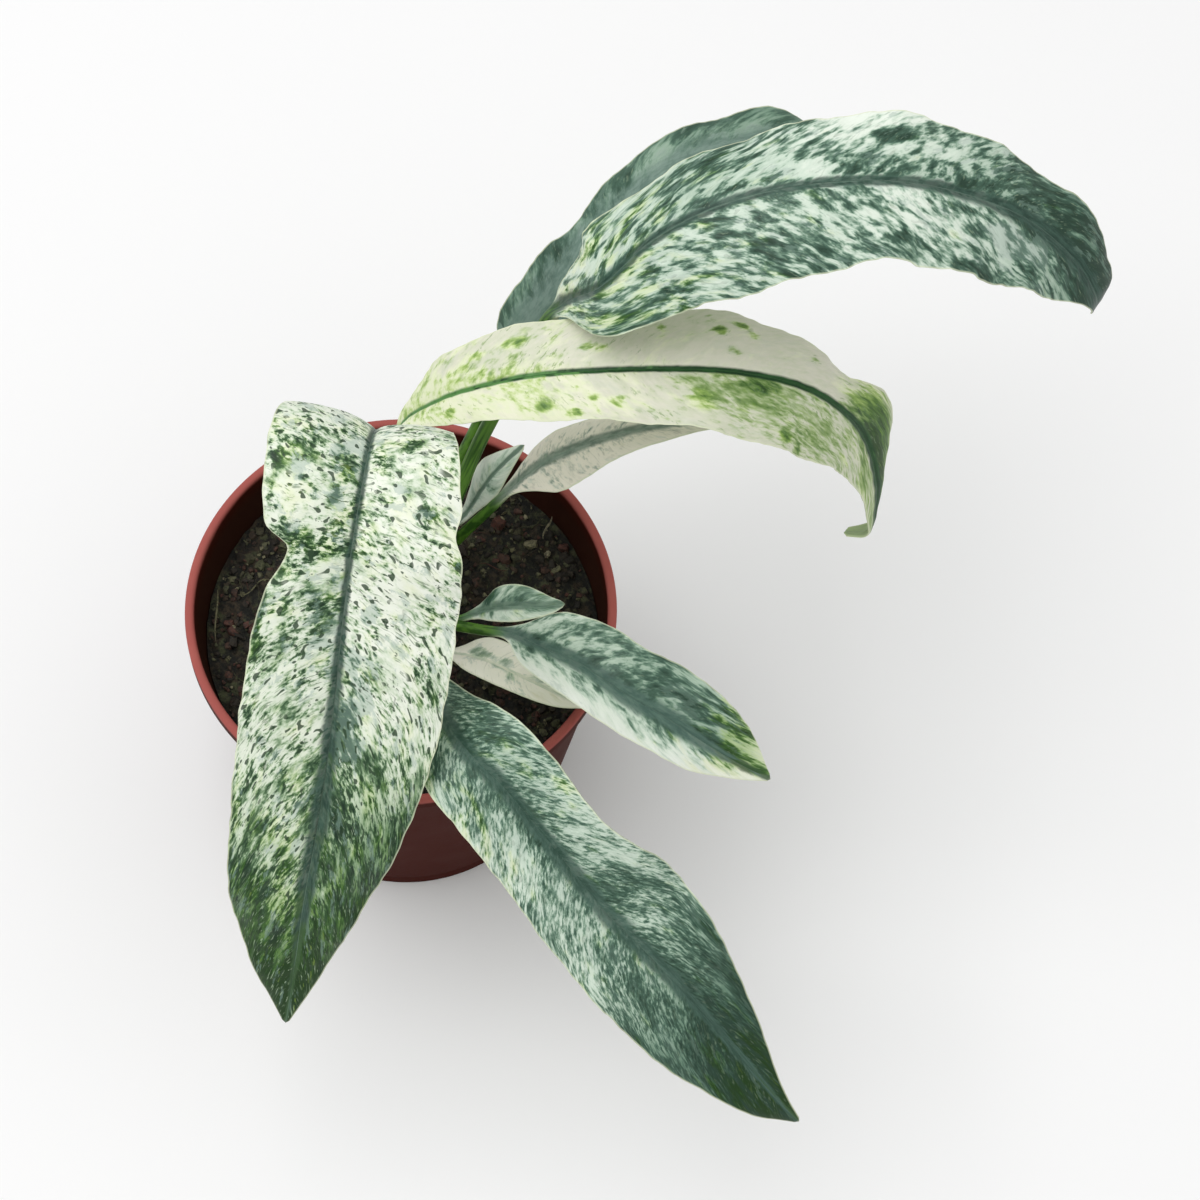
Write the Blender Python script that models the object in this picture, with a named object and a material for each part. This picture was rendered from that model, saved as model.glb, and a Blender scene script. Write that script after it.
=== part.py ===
"""A rhaphidophora in its nursery pot: plastic pot, potting soil, three shoots and ten marbled leaves.

The frame stands on the pot's base: the origin is the middle of the base's flat underside, +Z is up and
-Y is the front, where the longest leaf arches forward and down. Sizes are in millimetres, and MM turns
them into metres where a mesh is made. Left and right on a leaf are as seen from its stalk towards its
tip, with the upper face up.
"""

from dataclasses import dataclass
from math import cos, pi, radians, sin

import bmesh
import bpy
import numpy as np

MM = 0.001
GAP = 0.3

# Pot: a tapered nursery pot with a rolled rim, a small step above its foot and holes in its base.
POT_HEIGHT = 112.0
POT_WALL = 1.5
POT_SIDES = 48
RIM_RADIUS = 70.0
RIM_DEPTH = 6.0
RIM_ROUND = 1.3
MOUTH_RADIUS = 67.0
BASE_RADIUS = 55.0
FOOT_HEIGHT = 8.0
FOOT_STEP = 1.2
STEP_RISE = 1.0
BASE_THICKNESS = 1.8
EDGE = 0.8
DRAIN_COUNT = 8
DRAIN_RADIUS = 4.5
DRAIN_CIRCLE = 38.0

# Soil: it fills the pot to this height, higher towards the middle, with lumps of bark in its top.
SOIL_TOP = 93.0
SOIL_CROWN = 1.5
SOIL_LUMP = 1.3
SOIL_RINGS = 12
SOIL_SIDES = 36

# Leaves: blade thickness, how far the rib stands out below, and how long the steps along a leaf are.
BLADE = 0.7
RIB_DEPTH = 1.05
RIB_GROOVE = 0.25
TIP_RIB = 0.35
BLADE_STEP = 8.0
STALK_STEP = 11.0
WIDE_BLADE = 12.0
FINE = 240
ACROSS = 3

LEAF_GREEN = (0.085, 0.19, 0.11)
LEAF_CREAM = (0.62, 0.70, 0.50)
STALK_GREEN = (0.07, 0.19, 0.03)
TERRACOTTA = (0.30, 0.085, 0.065)
SOIL_BROWN = (0.030, 0.024, 0.017)


@dataclass(frozen=True)
class Stem:
    """A shoot: points up its middle, with its radius at each."""

    name: str
    points: tuple


@dataclass(frozen=True)
class Nick:
    """A place where one margin steps in and then swells out again, in station numbers of the blade."""

    side: int
    station: float
    depth: float
    before: float
    after: float


@dataclass(frozen=True)
class Leaf:
    """One leaf. Each stalk point is x, y, z and radius, from inside its stem outwards. Each blade
    station on the rib is x, y, z, the widths left and right of the rib, and how many degrees each half
    is lifted there. Droop is how far each half bends down again before its margin."""

    name: str
    stem: str
    stalk: tuple
    blade: tuple
    colour: tuple = LEAF_GREEN
    droop: float = 20.0
    wave: float = 0.8
    wave_length: float = 30.0
    nicks: tuple = ()


STEMS = (
    Stem("stem_main", ((0, 9, 62, 5.5), (0, 9, 92, 5.5), (0.5, 9.5, 108, 5.0), (0, 9, 124, 4.2))),
    Stem("stem_back", ((8, 22, 66, 3.0), (8, 22, 94, 3.0), (8.5, 22.5, 105, 2.6))),
    Stem("stem_right", ((8, -3, 66, 3.0), (8, -3, 94, 3.0), (8.5, -3.5, 105, 2.6))),
)

LEAVES = (
    Leaf(
        "leaf_front",
        "stem_main",
        ((0, 9, 118, 3.4), (-1, 10, 142, 2.7), (-3, 9, 165, 2.4)),
        (
            (-3, 6, 186, 4, 4, 10, 10),
            (-3, 2, 206, 13, 13, 15, 15),
            (-4, -3, 224, 20, 22.5, 22, 24),
            (-4, -11, 234.5, 23, 27.2, 28, 23),
            (-4, -24, 238.5, 27, 27.8, 28, 23),
            (-5, -42, 230.5, 30.8, 25.2, 22, 24),
            (-6, -56, 217, 32, 24.6, 16, 25),
            (-7, -80, 191, 30.5, 26.2, 20, 19),
            (-9, -100, 167, 25.2, 25.7, 20, 14),
            (-12, -116, 144, 17.4, 22.8, 16, 13),
            (-14, -129, 123, 9.3, 14.2, 10, 10),
            (-16, -141, 104, 0.6, 0.6, 8, 8),
        ),
        colour=LEAF_CREAM,
        droop=34.0,
        nicks=(Nick(1, 5.25, 7.4, 0.2, 0.6), Nick(-1, 4.75, 1.8, 0.2, 0.15)),
    ),
    Leaf(
        "leaf_upper_right",
        "stem_main",
        ((0, 8, 108, 3.0), (9, 17, 124, 2.7), (17, 31, 147, 2.4), (23, 40, 163, 2.3), (37, 53, 199, 2.3)),
        (
            (44, 53, 216, 5, 5, 30, 15),
            (54, 47, 235, 15, 16, 30, -12),
            (67, 54, 250, 18, 23, 13, -20),
            (85, 60, 262, 20.5, 26.5, 6, -19),
            (106, 65, 268, 22.5, 25.6, 6, -18),
            (129, 70, 268, 23.6, 23, 13, -12),
            (149, 74, 262, 21.5, 23.5, 22, -12),
            (172, 77, 250, 17.4, 21.5, 26, -18),
            (190, 76, 235, 15, 15, 38, -22),
            (200.5, 73, 221, 10.2, 5.2, 42, -25),
            (202, 74, 211, 4.5, 1, 35, -20),
        ),
        wave=1.0,
    ),
    Leaf(
        "leaf_behind",
        "stem_main",
        ((1, 10, 101, 2.8), (6, 20, 115, 2.6), (13, 38, 135, 2.3), (19, 49, 148, 2.2)),
        (
            (26, 57, 166, 4, 3, 20, 0),
            (33, 60, 182, 14, 5, 22, 0),
            (46, 67, 205, 16, 12, 15, -5),
            (53, 76, 216, 14.5, 16, 2, -5),
            (63, 87, 221, 16, 16, 6, -5),
            (75, 99, 223, 17, 16, 10, -5),
            (91, 110, 221, 16, 15, 18, 0),
            (108, 121, 214, 14, 11, 28, 0),
            (133, 130, 202, 0.6, 0.6, 20, 5),
        ),
    ),
    Leaf(
        "leaf_pale",
        "stem_main",
        ((0, 9, 104, 2.8), (-4, 21, 126, 2.5), (-5, 29, 150, 2.3)),
        (
            (-3, 31, 172, 3.5, 4, 30, 20),
            (9, 29, 192, 11, 9, 35, 5),
            (21, 29, 202, 15, 11.5, 32, -3),
            (36, 31, 208, 16.5, 14, 28, -10),
            (56, 33, 212, 18, 15.5, 23, -10),
            (80, 36, 213, 20, 17.5, 21, -12),
            (97, 39, 210, 19.8, 19.6, 20, -16),
            (116, 42, 202, 16.8, 20.5, 20, -24),
            (130, 43, 190, 12.2, 18.5, 28, -30),
            (140, 43, 174, 15.8, 14, 45, -32),
            (146, 38, 158, 5.4, 8.6, 45, -32),
            (147.5, 34, 147, 1.8, 5, 40, -25),
            (147, 31, 138, 4, 2.5, 15, -10),
            (139.5, 31.5, 134, 2, 1.2, 10, -5),
        ),
        colour=LEAF_CREAM,
        wave=0.6,
    ),
    Leaf(
        "leaf_low_right",
        "stem_main",
        ((0, 8, 101, 2.8), (3, -8, 117, 2.6), (9, -28, 140, 2.4), (14, -44, 160, 2.3)),
        (
            (18, -55, 172, 4, 4, 15, 15),
            (24, -70, 179, 12, 12, 15, 10),
            (33, -80, 179, 17, 16.5, 20, 18),
            (42, -86, 175, 18, 17.6, 32, 15),
            (60, -99, 161, 18.5, 18.4, 38, 12),
            (75, -110, 148, 23, 19.4, 15, 12),
            (93, -120, 134, 20.5, 21.3, 12, 12),
            (114, -132, 114, 12.5, 18.8, 10, 10),
            (132, -144, 98, 4, 9.5, 8, 8),
            (142, -149, 88, 0.6, 0.6, 0, 0),
        ),
    ),
    Leaf(
        "leaf_back_grey",
        "stem_back",
        ((8, 22, 100, 2.0), (15, 25, 113, 1.9), (25, 28, 130, 1.7)),
        (
            (32, 31, 141, 3, 3, 15, 15),
            (42, 36, 151, 8, 11.5, 10, 0),
            (56, 39, 161, 9.5, 9.8, 5, 0),
            (72, 42, 168, 9, 6.4, 5, 5),
            (90, 46, 169, 5, 3.2, 5, 5),
            (102, 48, 166, 0.6, 0.6, 5, 5),
        ),
        colour=LEAF_CREAM,
    ),
    Leaf(
        "leaf_back_small",
        "stem_back",
        ((8, 22.5, 97.5, 1.6), (10, 30, 105, 1.5)),
        (
            (17, 35, 114, 2.5, 2.5, 15, 15),
            (23, 39, 128, 7, 6, 10, 10),
            (28, 42, 136, 5, 4, 10, 10),
            (34, 47, 141, 0.6, 0.6, 10, 10),
        ),
        wave=0.3,
    ),
    Leaf(
        "leaf_oval",
        "stem_right",
        ((8, -3, 98.5, 1.5), (17, -3.5, 109, 1.3)),
        (
            (25, -3, 117, 2.5, 2.5, 10, 10),
            (31, -4, 124, 7, 5, 15, 12),
            (39, -5, 129, 7, 5.5, 12, 12),
            (47, -5, 131, 4, 3.5, 12, 12),
            (53, -3, 130, 0.6, 0.6, 5, 5),
        ),
        wave=0.3,
    ),
    Leaf(
        "leaf_right",
        "stem_right",
        ((8, -3, 101, 2.0), (14, -9, 118, 1.9), (29, -19, 137, 1.7)),
        (
            (38, -22, 143, 3, 3, 15, 15),
            (47, -28, 149, 12, 8.5, 12, 12),
            (60, -34, 152, 15, 11.2, 12, 8),
            (73, -41, 151, 15.2, 11.4, 12, 8),
            (86, -45, 146, 16.5, 11.5, 12, 6),
            (99, -49, 139, 15.2, 10, 12, 5),
            (112, -51, 129, 11.5, 5, 8, 0),
            (123, -51, 120, 0.6, 0.6, 0, 0),
        ),
        wave=0.6,
    ),
    Leaf(
        "leaf_shaded",
        "stem_right",
        ((8, -4, 97.5, 1.6), (14, -13, 105, 1.4)),
        (
            (19, -15.5, 111, 2.5, 2.5, 10, 10),
            (26, -18, 115, 8, 6, 12, 12),
            (35, -22, 118, 8.5, 6.6, 12, 12),
            (52, -29, 119, 8, 5.2, 10, 10),
            (63, -32.5, 118, 0.6, 0.6, 5, 5),
        ),
        colour=LEAF_CREAM,
        wave=0.4,
    ),
)


def clear_scene():
    """Remove what the open file holds."""
    for thing in list(bpy.data.objects):
        bpy.data.objects.remove(thing)


def material(name, colour, roughness):
    """A plain Principled material."""
    made = bpy.data.materials.new(name)
    made.use_nodes = True
    shader = made.node_tree.nodes["Principled BSDF"]
    shader.inputs["Base Color"].default_value = (*colour, 1.0)
    shader.inputs["Roughness"].default_value = roughness
    shader.inputs["Metallic"].default_value = 0.0
    made.diffuse_color = (*colour, 1.0)
    return made


def add_object(name, mesh, finish=None):
    """Link a mesh into the scene as one named object, shaded smooth."""
    thing = bpy.data.objects.new(name, mesh)
    bpy.context.scene.collection.objects.link(thing)
    mesh.shade_smooth()
    mesh.set_sharp_from_angle(angle=radians(40))
    if finish:
        mesh.materials.append(finish)
    return thing


def as_cutter(thing):
    """Mark an object as a cutter, which is no piece of the plant."""
    thing.hide_render = True
    thing.display_type = "WIRE"
    return thing


def cut(thing, cutter, operation="DIFFERENCE"):
    """Put an exact Boolean on an object."""
    modifier = thing.modifiers.new(cutter.name, "BOOLEAN")
    modifier.operation = operation
    modifier.object = cutter
    modifier.solver = "EXACT"


def through(stations, at):
    """Smooth values through hand-set stations, read at fractional station numbers."""
    table = np.asarray(stations, float)
    last = len(table) - 1
    padded = np.vstack([2 * table[0] - table[1], table, 2 * table[-1] - table[-2]])
    at = np.clip(np.asarray(at, float), 0, last)
    whole = np.minimum(at.astype(int), last - 1)
    t = (at - whole)[:, None]
    a, b, c, d = (padded[whole + k] for k in range(4))
    return 0.5 * (2 * b + (c - a) * t + (2 * a - 5 * b + 4 * c - d) * t**2 + (3 * b - a - 3 * c + d) * t**3)


def unit(vectors):
    """Vectors made one long."""
    return vectors / np.linalg.norm(vectors, axis=-1, keepdims=True)


def frames(points, heading):
    """The right and upper directions along a path, turned about it as little as possible."""
    along = unit(np.gradient(points, axis=0))
    side = np.cross(heading, (0.0, 0.0, 1.0))
    right = np.empty_like(along)
    for k, forward in enumerate(along):
        side = unit(side - np.dot(side, forward) * forward)
        right[k] = side
    return right, np.cross(right, along)


def lengths(points):
    """How far along a path each of its points lies."""
    steps = np.linalg.norm(np.diff(points, axis=0), axis=1)
    return np.concatenate([[0.0], np.cumsum(steps)])


def finished(name, shape):
    """Turn a closed bmesh into a mesh with its normals pointing out, and free it."""
    bmesh.ops.recalc_face_normals(shape, faces=shape.faces)
    mesh = bpy.data.meshes.new(name)
    shape.to_mesh(mesh)
    shape.free()
    return mesh


def ring_mesh(name, rings, faces):
    """A mesh from rings of points in millimetres."""
    shape = bmesh.new()
    corners = [shape.verts.new(point * MM) for ring in rings for point in ring]
    for face in faces:
        shape.faces.new([corners[k] for k in face])
    return finished(name, shape)


def ring_of(shape, sides, radius, height):
    """Add a level ring of vertices about Z."""
    turn = [2 * pi * n / sides for n in range(sides)]
    return [shape.verts.new((radius * cos(t) * MM, radius * sin(t) * MM, height * MM)) for t in turn]


def tube(name, points, sides, grow=0.0):
    """A closed tube up a stem; grow widens it and lengthens both its ends."""
    rings = []
    last = len(points) - 1
    for k, (x, y, z, radius) in enumerate(points):
        z += grow * ((k == last) - (k == 0))
        turn = [2 * pi * n / sides for n in range(sides)]
        wide = radius + grow
        rings.append([np.array((x + wide * cos(t), y + wide * sin(t), z)) for t in turn])
    faces = [tuple(range(sides))[::-1], tuple(last * sides + n for n in range(sides))]
    for k in range(last):
        for n in range(sides):
            low, high = k * sides, (k + 1) * sides
            m = (n + 1) % sides
            faces.append((low + n, low + m, high + m, high + n))
    return ring_mesh(name, rings, faces)


def spine(leaf):
    """A finely stepped leaf path: place, directions, widths and lifts, radius and share of blade."""
    stalk = np.array(leaf.stalk, float)
    blade = np.array(leaf.blade, float)
    foot = len(stalk)
    at = np.linspace(0, foot + len(blade) - 1, FINE)
    points = through(np.vstack([stalk[:, :3], blade[:, :3]]), at)
    heading = (blade[-1, :3] - blade[0, :3]) * (1, 1, 0)
    right, up = frames(points, unit(heading))
    round_part = np.repeat([[stalk[-1, 3], stalk[-1, 3], *blade[0, 5:]]], foot, axis=0)
    form = through(np.vstack([round_part, blade[:, 3:]]), at)
    for nick in leaf.nicks:
        past = at - foot - nick.station
        spread = np.where(past < 0, nick.before, nick.after)
        form[:, 0 if nick.side < 0 else 1] -= nick.depth * np.exp(-((past / spread) ** 2))
    form[:, :2] = np.maximum(form[:, :2], 0.4)
    radii = np.concatenate([stalk[:, 3], np.linspace(stalk[-1, 3], TIP_RIB, len(blade))])
    radius = through(radii[:, None], at)
    share = np.clip((at - foot + 0.9) / 0.9, 0, 1)
    share = share * share * (3 - 2 * share)
    return np.column_stack([points, right, up, form, radius, share]), lengths(points), foot / at[-1]


def half_blade(width, lift, droop, reach):
    """Across and up from the rib, and the slope, at distances along one half of a blade."""
    start = radians(lift)
    bend = radians(droop) / width
    slope = start - bend * reach
    return (sin(start) - np.sin(slope)) / bend, (np.cos(slope) - cos(start)) / bend, slope


def half_section(leaf, side, row, along):
    """The upper and lower points of one half of a section, from the rib outwards."""
    left, right, left_lift, right_lift, radius, share = row
    width, lift = (left, left_lift) if side < 0 else (right, right_lift)
    rib = min(radius * 0.8, width * 0.4)
    reach = np.concatenate([[0.0], rib + (width - rib) * np.linspace(0, 1, ACROSS)])
    across, up, slope = half_blade(width, lift, leaf.droop, reach)
    phase = 2 * pi * along / leaf.wave_length + (0.0 if side < 0 else 1.9)
    up = up + leaf.wave * share * min(1.0, width / WIDE_BLADE) * (reach / width) ** 2 * sin(phase)
    at_rib = reach == 0
    top = np.array([across - np.sin(slope) * BLADE / 2, up + np.cos(slope) * BLADE / 2])
    low = np.array([across + np.sin(slope) * BLADE / 2, up - np.cos(slope) * BLADE / 2])
    top[1] -= at_rib * RIB_GROOVE * radius
    low[1] -= at_rib * RIB_DEPTH * radius
    turn = pi / 2 * (1 - np.concatenate([[0.0], 0.25 + 0.65 * np.linspace(0, 1, ACROSS)]))
    disc = radius * np.array([np.cos(turn), np.sin(turn)])
    top = (1 - share) * disc + share * top
    low = (1 - share) * disc * np.array([[1], [-1]]) + share * low
    for edge in (top, low):
        edge[0] = np.where(at_rib, 0.0, edge[0] * side)
    return top, low


def leaf_rings(leaf):
    """Rings of points from the stalk's start to the tip: the upper face left to right, then back."""
    rows, far, foot_share = spine(leaf)
    foot = np.interp(foot_share, np.linspace(0, 1, FINE), far)
    stalk_steps = max(3, round(foot / STALK_STEP))
    blade_steps = max(6, round((far[-1] - foot) / BLADE_STEP))
    stops = np.concatenate(
        [np.linspace(0, foot, stalk_steps, endpoint=False), np.linspace(foot, far[-1], blade_steps)]
    )
    rings = []
    for stop in stops:
        row = np.array([np.interp(stop, far, column) for column in rows.T])
        place, right, up = row[0:3], unit(row[3:6]), unit(row[6:9])
        left_top, left_low = half_section(leaf, -1, row[9:], stop)
        right_top, right_low = half_section(leaf, 1, row[9:], stop)
        top = np.hstack([left_top[:, ::-1], right_top[:, 1:]])
        low = np.hstack([left_low[:, ::-1], right_low[:, 1:]])[:, ::-1]
        section = np.hstack([top, low])
        rings.append(place + section[0][:, None] * right + section[1][:, None] * up)
    return rings


def leaf_faces(count, size):
    """Triangles over the rings, with the lower face split the same way as the upper one."""
    upper = size // 2
    faces = []
    for k in range(count - 1):
        near, far = k * size, (k + 1) * size
        for n in range(upper - 1):
            a, b = size - 1 - n, size - 2 - n
            faces += [(near + n, far + n, far + n + 1), (near + n, far + n + 1, near + n + 1)]
            faces += [(near + a, far + b, far + a), (near + a, near + b, far + b)]
        for a, b in ((upper - 1, upper), (size - 1, 0)):
            faces += [(near + a, far + a, far + b), (near + a, far + b, near + b)]
    for start in (0, (count - 1) * size):
        for n in range(upper - 1):
            a, b = start + size - 1 - n, start + size - 2 - n
            faces += [(start + n, start + n + 1, b), (start + n, b, a)]
    return faces


def make_leaf(leaf, seats):
    """One leaf, cut back to a clear seat on its stem."""
    rings = leaf_rings(leaf)
    mesh = ring_mesh(leaf.name, rings, leaf_faces(len(rings), len(rings[0])))
    thing = add_object(leaf.name, mesh, material(leaf.name, leaf.colour, 0.38))
    cut(thing, seats[leaf.stem])
    return thing


def pot_profile():
    """The pot's section as radius and height, up the outside and down the inside."""
    lean = (MOUTH_RADIUS + POT_WALL - BASE_RADIUS - FOOT_STEP) / (POT_HEIGHT - FOOT_HEIGHT)
    under_rim = BASE_RADIUS + FOOT_STEP + lean * (POT_HEIGHT - RIM_DEPTH - FOOT_HEIGHT)
    inner_foot = BASE_RADIUS - POT_WALL
    return [
        (BASE_RADIUS - EDGE, 0.0),
        (BASE_RADIUS, EDGE),
        (BASE_RADIUS, FOOT_HEIGHT),
        (BASE_RADIUS + FOOT_STEP, FOOT_HEIGHT + STEP_RISE),
        (under_rim, POT_HEIGHT - RIM_DEPTH),
        (RIM_RADIUS - EDGE, POT_HEIGHT - RIM_DEPTH),
        (RIM_RADIUS, POT_HEIGHT - RIM_DEPTH + EDGE),
        (RIM_RADIUS, POT_HEIGHT - RIM_ROUND),
        (RIM_RADIUS - RIM_ROUND * 0.35, POT_HEIGHT - RIM_ROUND * 0.35),
        (RIM_RADIUS - RIM_ROUND, POT_HEIGHT),
        (MOUTH_RADIUS + RIM_ROUND, POT_HEIGHT),
        (MOUTH_RADIUS + RIM_ROUND * 0.35, POT_HEIGHT - RIM_ROUND * 0.35),
        (MOUTH_RADIUS, POT_HEIGHT - RIM_ROUND),
        (inner_foot + FOOT_STEP, FOOT_HEIGHT + STEP_RISE),
        (inner_foot, FOOT_HEIGHT),
        (inner_foot, BASE_THICKNESS),
    ]


def inner_radius(height):
    """The pot's inner radius at a height above the foot."""
    low, high = FOOT_HEIGHT + STEP_RISE, POT_HEIGHT - RIM_ROUND
    foot = BASE_RADIUS - POT_WALL + FOOT_STEP
    return foot + (MOUTH_RADIUS - foot) * (height - low) / (high - low)


def turned(name, profile, sides):
    """A closed body turned about Z from a profile that starts and ends off the axis."""
    shape = bmesh.new()
    rings = [ring_of(shape, sides, radius, height) for radius, height in profile]
    for low, high in zip(rings, rings[1:]):
        for n in range(sides):
            m = (n + 1) % sides
            shape.faces.new((low[n], low[m], high[m], high[n]))
    shape.faces.new(rings[0][::-1])
    shape.faces.new(rings[-1])
    return finished(name, shape)


def make_pot():
    """The nursery pot, with drain holes round its base."""
    pot = add_object("pot", turned("pot", pot_profile(), POT_SIDES), material("pot", TERRACOTTA, 0.45))
    shape = bmesh.new()
    for n in range(DRAIN_COUNT):
        turn = 2 * pi * (n + 0.5) / DRAIN_COUNT
        made = bmesh.ops.create_cone(
            shape,
            cap_ends=True,
            segments=12,
            radius1=DRAIN_RADIUS * MM,
            radius2=DRAIN_RADIUS * MM,
            depth=4 * BASE_THICKNESS * MM,
        )
        offset = (DRAIN_CIRCLE * cos(turn) * MM, DRAIN_CIRCLE * sin(turn) * MM, 0.0)
        bmesh.ops.translate(shape, verts=made["verts"], vec=offset)
    cut(pot, as_cutter(add_object("drains", finished("drains", shape))))
    return pot


def soil_height(x, y):
    """How high the lumpy top of the soil lies at a place."""
    away = (x * x + y * y) / inner_radius(SOIL_TOP) ** 2
    lumps = sin(0.31 * x + 1.3 * sin(0.17 * y)) * cos(0.27 * y + 0.8 * sin(0.21 * x))
    crumbs = 0.5 * sin(0.53 * x - 0.41 * y) * sin(0.47 * y + 0.22 * x + 1.0)
    return SOIL_TOP + SOIL_CROWN * (1 - away) + SOIL_LUMP * (lumps + crumbs) * (1 - away**4)


def make_soil(seats):
    """The soil: a plug that fills the pot, with a lumpy top and a plain hole for each stem."""
    top_radius = inner_radius(SOIL_TOP) - GAP
    bottom = BASE_THICKNESS + GAP
    foot = BASE_RADIUS - POT_WALL - GAP
    shape = bmesh.new()
    outline = [(foot, bottom), (foot, FOOT_HEIGHT), (foot + FOOT_STEP, FOOT_HEIGHT + STEP_RISE + GAP)]
    rings = [ring_of(shape, SOIL_SIDES, radius, height) for radius, height in outline]
    for k in range(SOIL_RINGS):
        ring = ring_of(shape, SOIL_SIDES, top_radius * (1 - k / SOIL_RINGS), SOIL_TOP)
        for corner in ring:
            corner.co.z = soil_height(corner.co.x / MM, corner.co.y / MM) * MM
        rings.append(ring)
    for low, high in zip(rings, rings[1:]):
        for n in range(SOIL_SIDES):
            m = (n + 1) % SOIL_SIDES
            shape.faces.new((low[n], low[m], high[m]))
            shape.faces.new((low[n], high[m], high[n]))
    middle = shape.verts.new((0.0, 0.0, soil_height(0.0, 0.0) * MM))
    for n in range(SOIL_SIDES):
        shape.faces.new((rings[-1][n], rings[-1][(n + 1) % SOIL_SIDES], middle))
    shape.faces.new(rings[0][::-1])
    soil = add_object("soil", finished("soil", shape), material("soil", SOIL_BROWN, 0.95))
    for seat in seats.values():
        cut(soil, seat)
    return soil


def main():
    """Build the pot, its soil, the stems and the leaves."""
    clear_scene()
    seats = {
        stem.name: as_cutter(add_object(f"seat_{stem.name}", tube(f"seat_{stem.name}", stem.points, 12, GAP)))
        for stem in STEMS
    }
    make_pot()
    make_soil(seats)
    for stem in STEMS:
        add_object(stem.name, tube(stem.name, stem.points, 12), material(stem.name, STALK_GREEN, 0.5))
    for leaf in LEAVES:
        make_leaf(leaf, seats)


main()
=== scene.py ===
"""Looks of a potted rhaphidophora: ten marbled leaves on three shoots, potting soil and a nursery pot.

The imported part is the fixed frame: its origin is the middle of the pot's underside, +Z is up and -Y is the
front. Lengths in this file are millimetres, and MM makes them metres where a mesh, a light or the camera
is made. Left and right on a leaf are as seen from its stalk towards its tip, with the upper face up.
"""

import logging
from dataclasses import dataclass
from enum import Enum
from math import cos, pi, radians, sin
from typing import Any, Mapping, Sequence

import bpy
import numpy as np
from mathutils import Matrix, Vector


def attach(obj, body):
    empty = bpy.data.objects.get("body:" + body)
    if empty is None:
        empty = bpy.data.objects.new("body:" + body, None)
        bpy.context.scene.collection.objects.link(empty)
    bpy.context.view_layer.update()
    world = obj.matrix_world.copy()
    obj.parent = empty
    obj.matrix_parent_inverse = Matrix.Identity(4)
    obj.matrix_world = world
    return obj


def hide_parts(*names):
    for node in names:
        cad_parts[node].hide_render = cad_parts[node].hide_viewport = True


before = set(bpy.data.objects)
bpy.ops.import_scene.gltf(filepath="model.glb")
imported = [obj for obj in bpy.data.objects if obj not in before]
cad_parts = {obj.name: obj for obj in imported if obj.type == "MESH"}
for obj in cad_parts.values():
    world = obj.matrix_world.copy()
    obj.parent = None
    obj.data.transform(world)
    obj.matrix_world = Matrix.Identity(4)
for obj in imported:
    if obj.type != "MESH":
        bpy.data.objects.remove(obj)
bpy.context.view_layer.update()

LOG = logging.getLogger("rhaphidophora")
MM = 0.001
MERGE = 0.002
RGB = tuple[float, float, float]
Place = tuple[float, float, float]
Rows = tuple[tuple[float, ...], ...]
Stops = tuple[tuple[float, RGB], ...]


class Side(Enum):
    """The two halves of a leaf, by the sign of their distance from the rib."""

    LEFT = -1
    RIGHT = 1


class Slot(Enum):
    """The record's material slots."""

    POT = "pot_plastic"
    SOIL = "potting_soil"
    STEM = "stem"
    CREAM = "leaf_cream"
    GREY = "leaf_grey"
    GREEN = "leaf_green"


def shade(red: int, green: int, blue: int) -> RGB:
    """Turn a screen colour into the linear colour that shaders take.

    Args:
        red, green, blue: the screen colour, 0 to 255 each.

    Returns:
        The linear colour, 0 to 1 each.
    """
    screen = (red / 255, green / 255, blue / 255)
    return tuple(((v + 0.055) / 1.055) ** 2.4 if v > 0.04045 else v / 12.92 for v in screen)


class Signal:
    """An output socket of a shader node. Arithmetic on it adds Math nodes."""

    def __init__(self, sheet: "ShaderSheet", socket: bpy.types.NodeSocket) -> None:
        """Wrap one output socket of a sheet's tree."""
        self.sheet = sheet
        self.socket = socket

    def math(self, operation: str, *values: "float | Signal") -> "Signal":
        """Add a Math node.

        Args:
            operation: Blender's name of the operation.
            values: its numbers or signals, in order.

        Returns:
            The node's result.
        """
        return self.sheet.make("ShaderNodeMath", {"operation": operation}, dict(enumerate(values)))

    def __add__(self, other: "float | Signal") -> "Signal":
        """Add."""
        return self.math("ADD", self, other)

    __radd__ = __add__

    def __sub__(self, other: "float | Signal") -> "Signal":
        """Subtract."""
        return self.math("SUBTRACT", self, other)

    def __rsub__(self, other: "float | Signal") -> "Signal":
        """Subtract this from a number."""
        return self.math("SUBTRACT", other, self)

    def __mul__(self, other: "float | Signal") -> "Signal":
        """Multiply."""
        return self.math("MULTIPLY", self, other)

    __rmul__ = __mul__

    def __truediv__(self, other: "float | Signal") -> "Signal":
        """Divide."""
        return self.math("DIVIDE", self, other)

    def __abs__(self) -> "Signal":
        """The size without its sign."""
        return self.math("ABSOLUTE", self)

    def sine(self) -> "Signal":
        """The sine of an angle in radians."""
        return self.math("SINE", self)

    def root(self) -> "Signal":
        """The square root."""
        return self.math("SQRT", self)

    def most(self, other: "float | Signal") -> "Signal":
        """The greater of this and another."""
        return self.math("MAXIMUM", self, other)

    def step(self, low: float, high: float) -> "Signal":
        """Rise smoothly from 0 to 1.

        Args:
            low: where it leaves 0.
            high: where it reaches 1, which may lie below low.

        Returns:
            The smooth step.
        """
        if low > high:
            return 1 - self.step(high, low)
        settings = {"interpolation_type": "SMOOTHSTEP"}
        sockets = {"Value": self, "From Min": low, "From Max": high}
        return self.sheet.make("ShaderNodeMapRange", settings, sockets)


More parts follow.
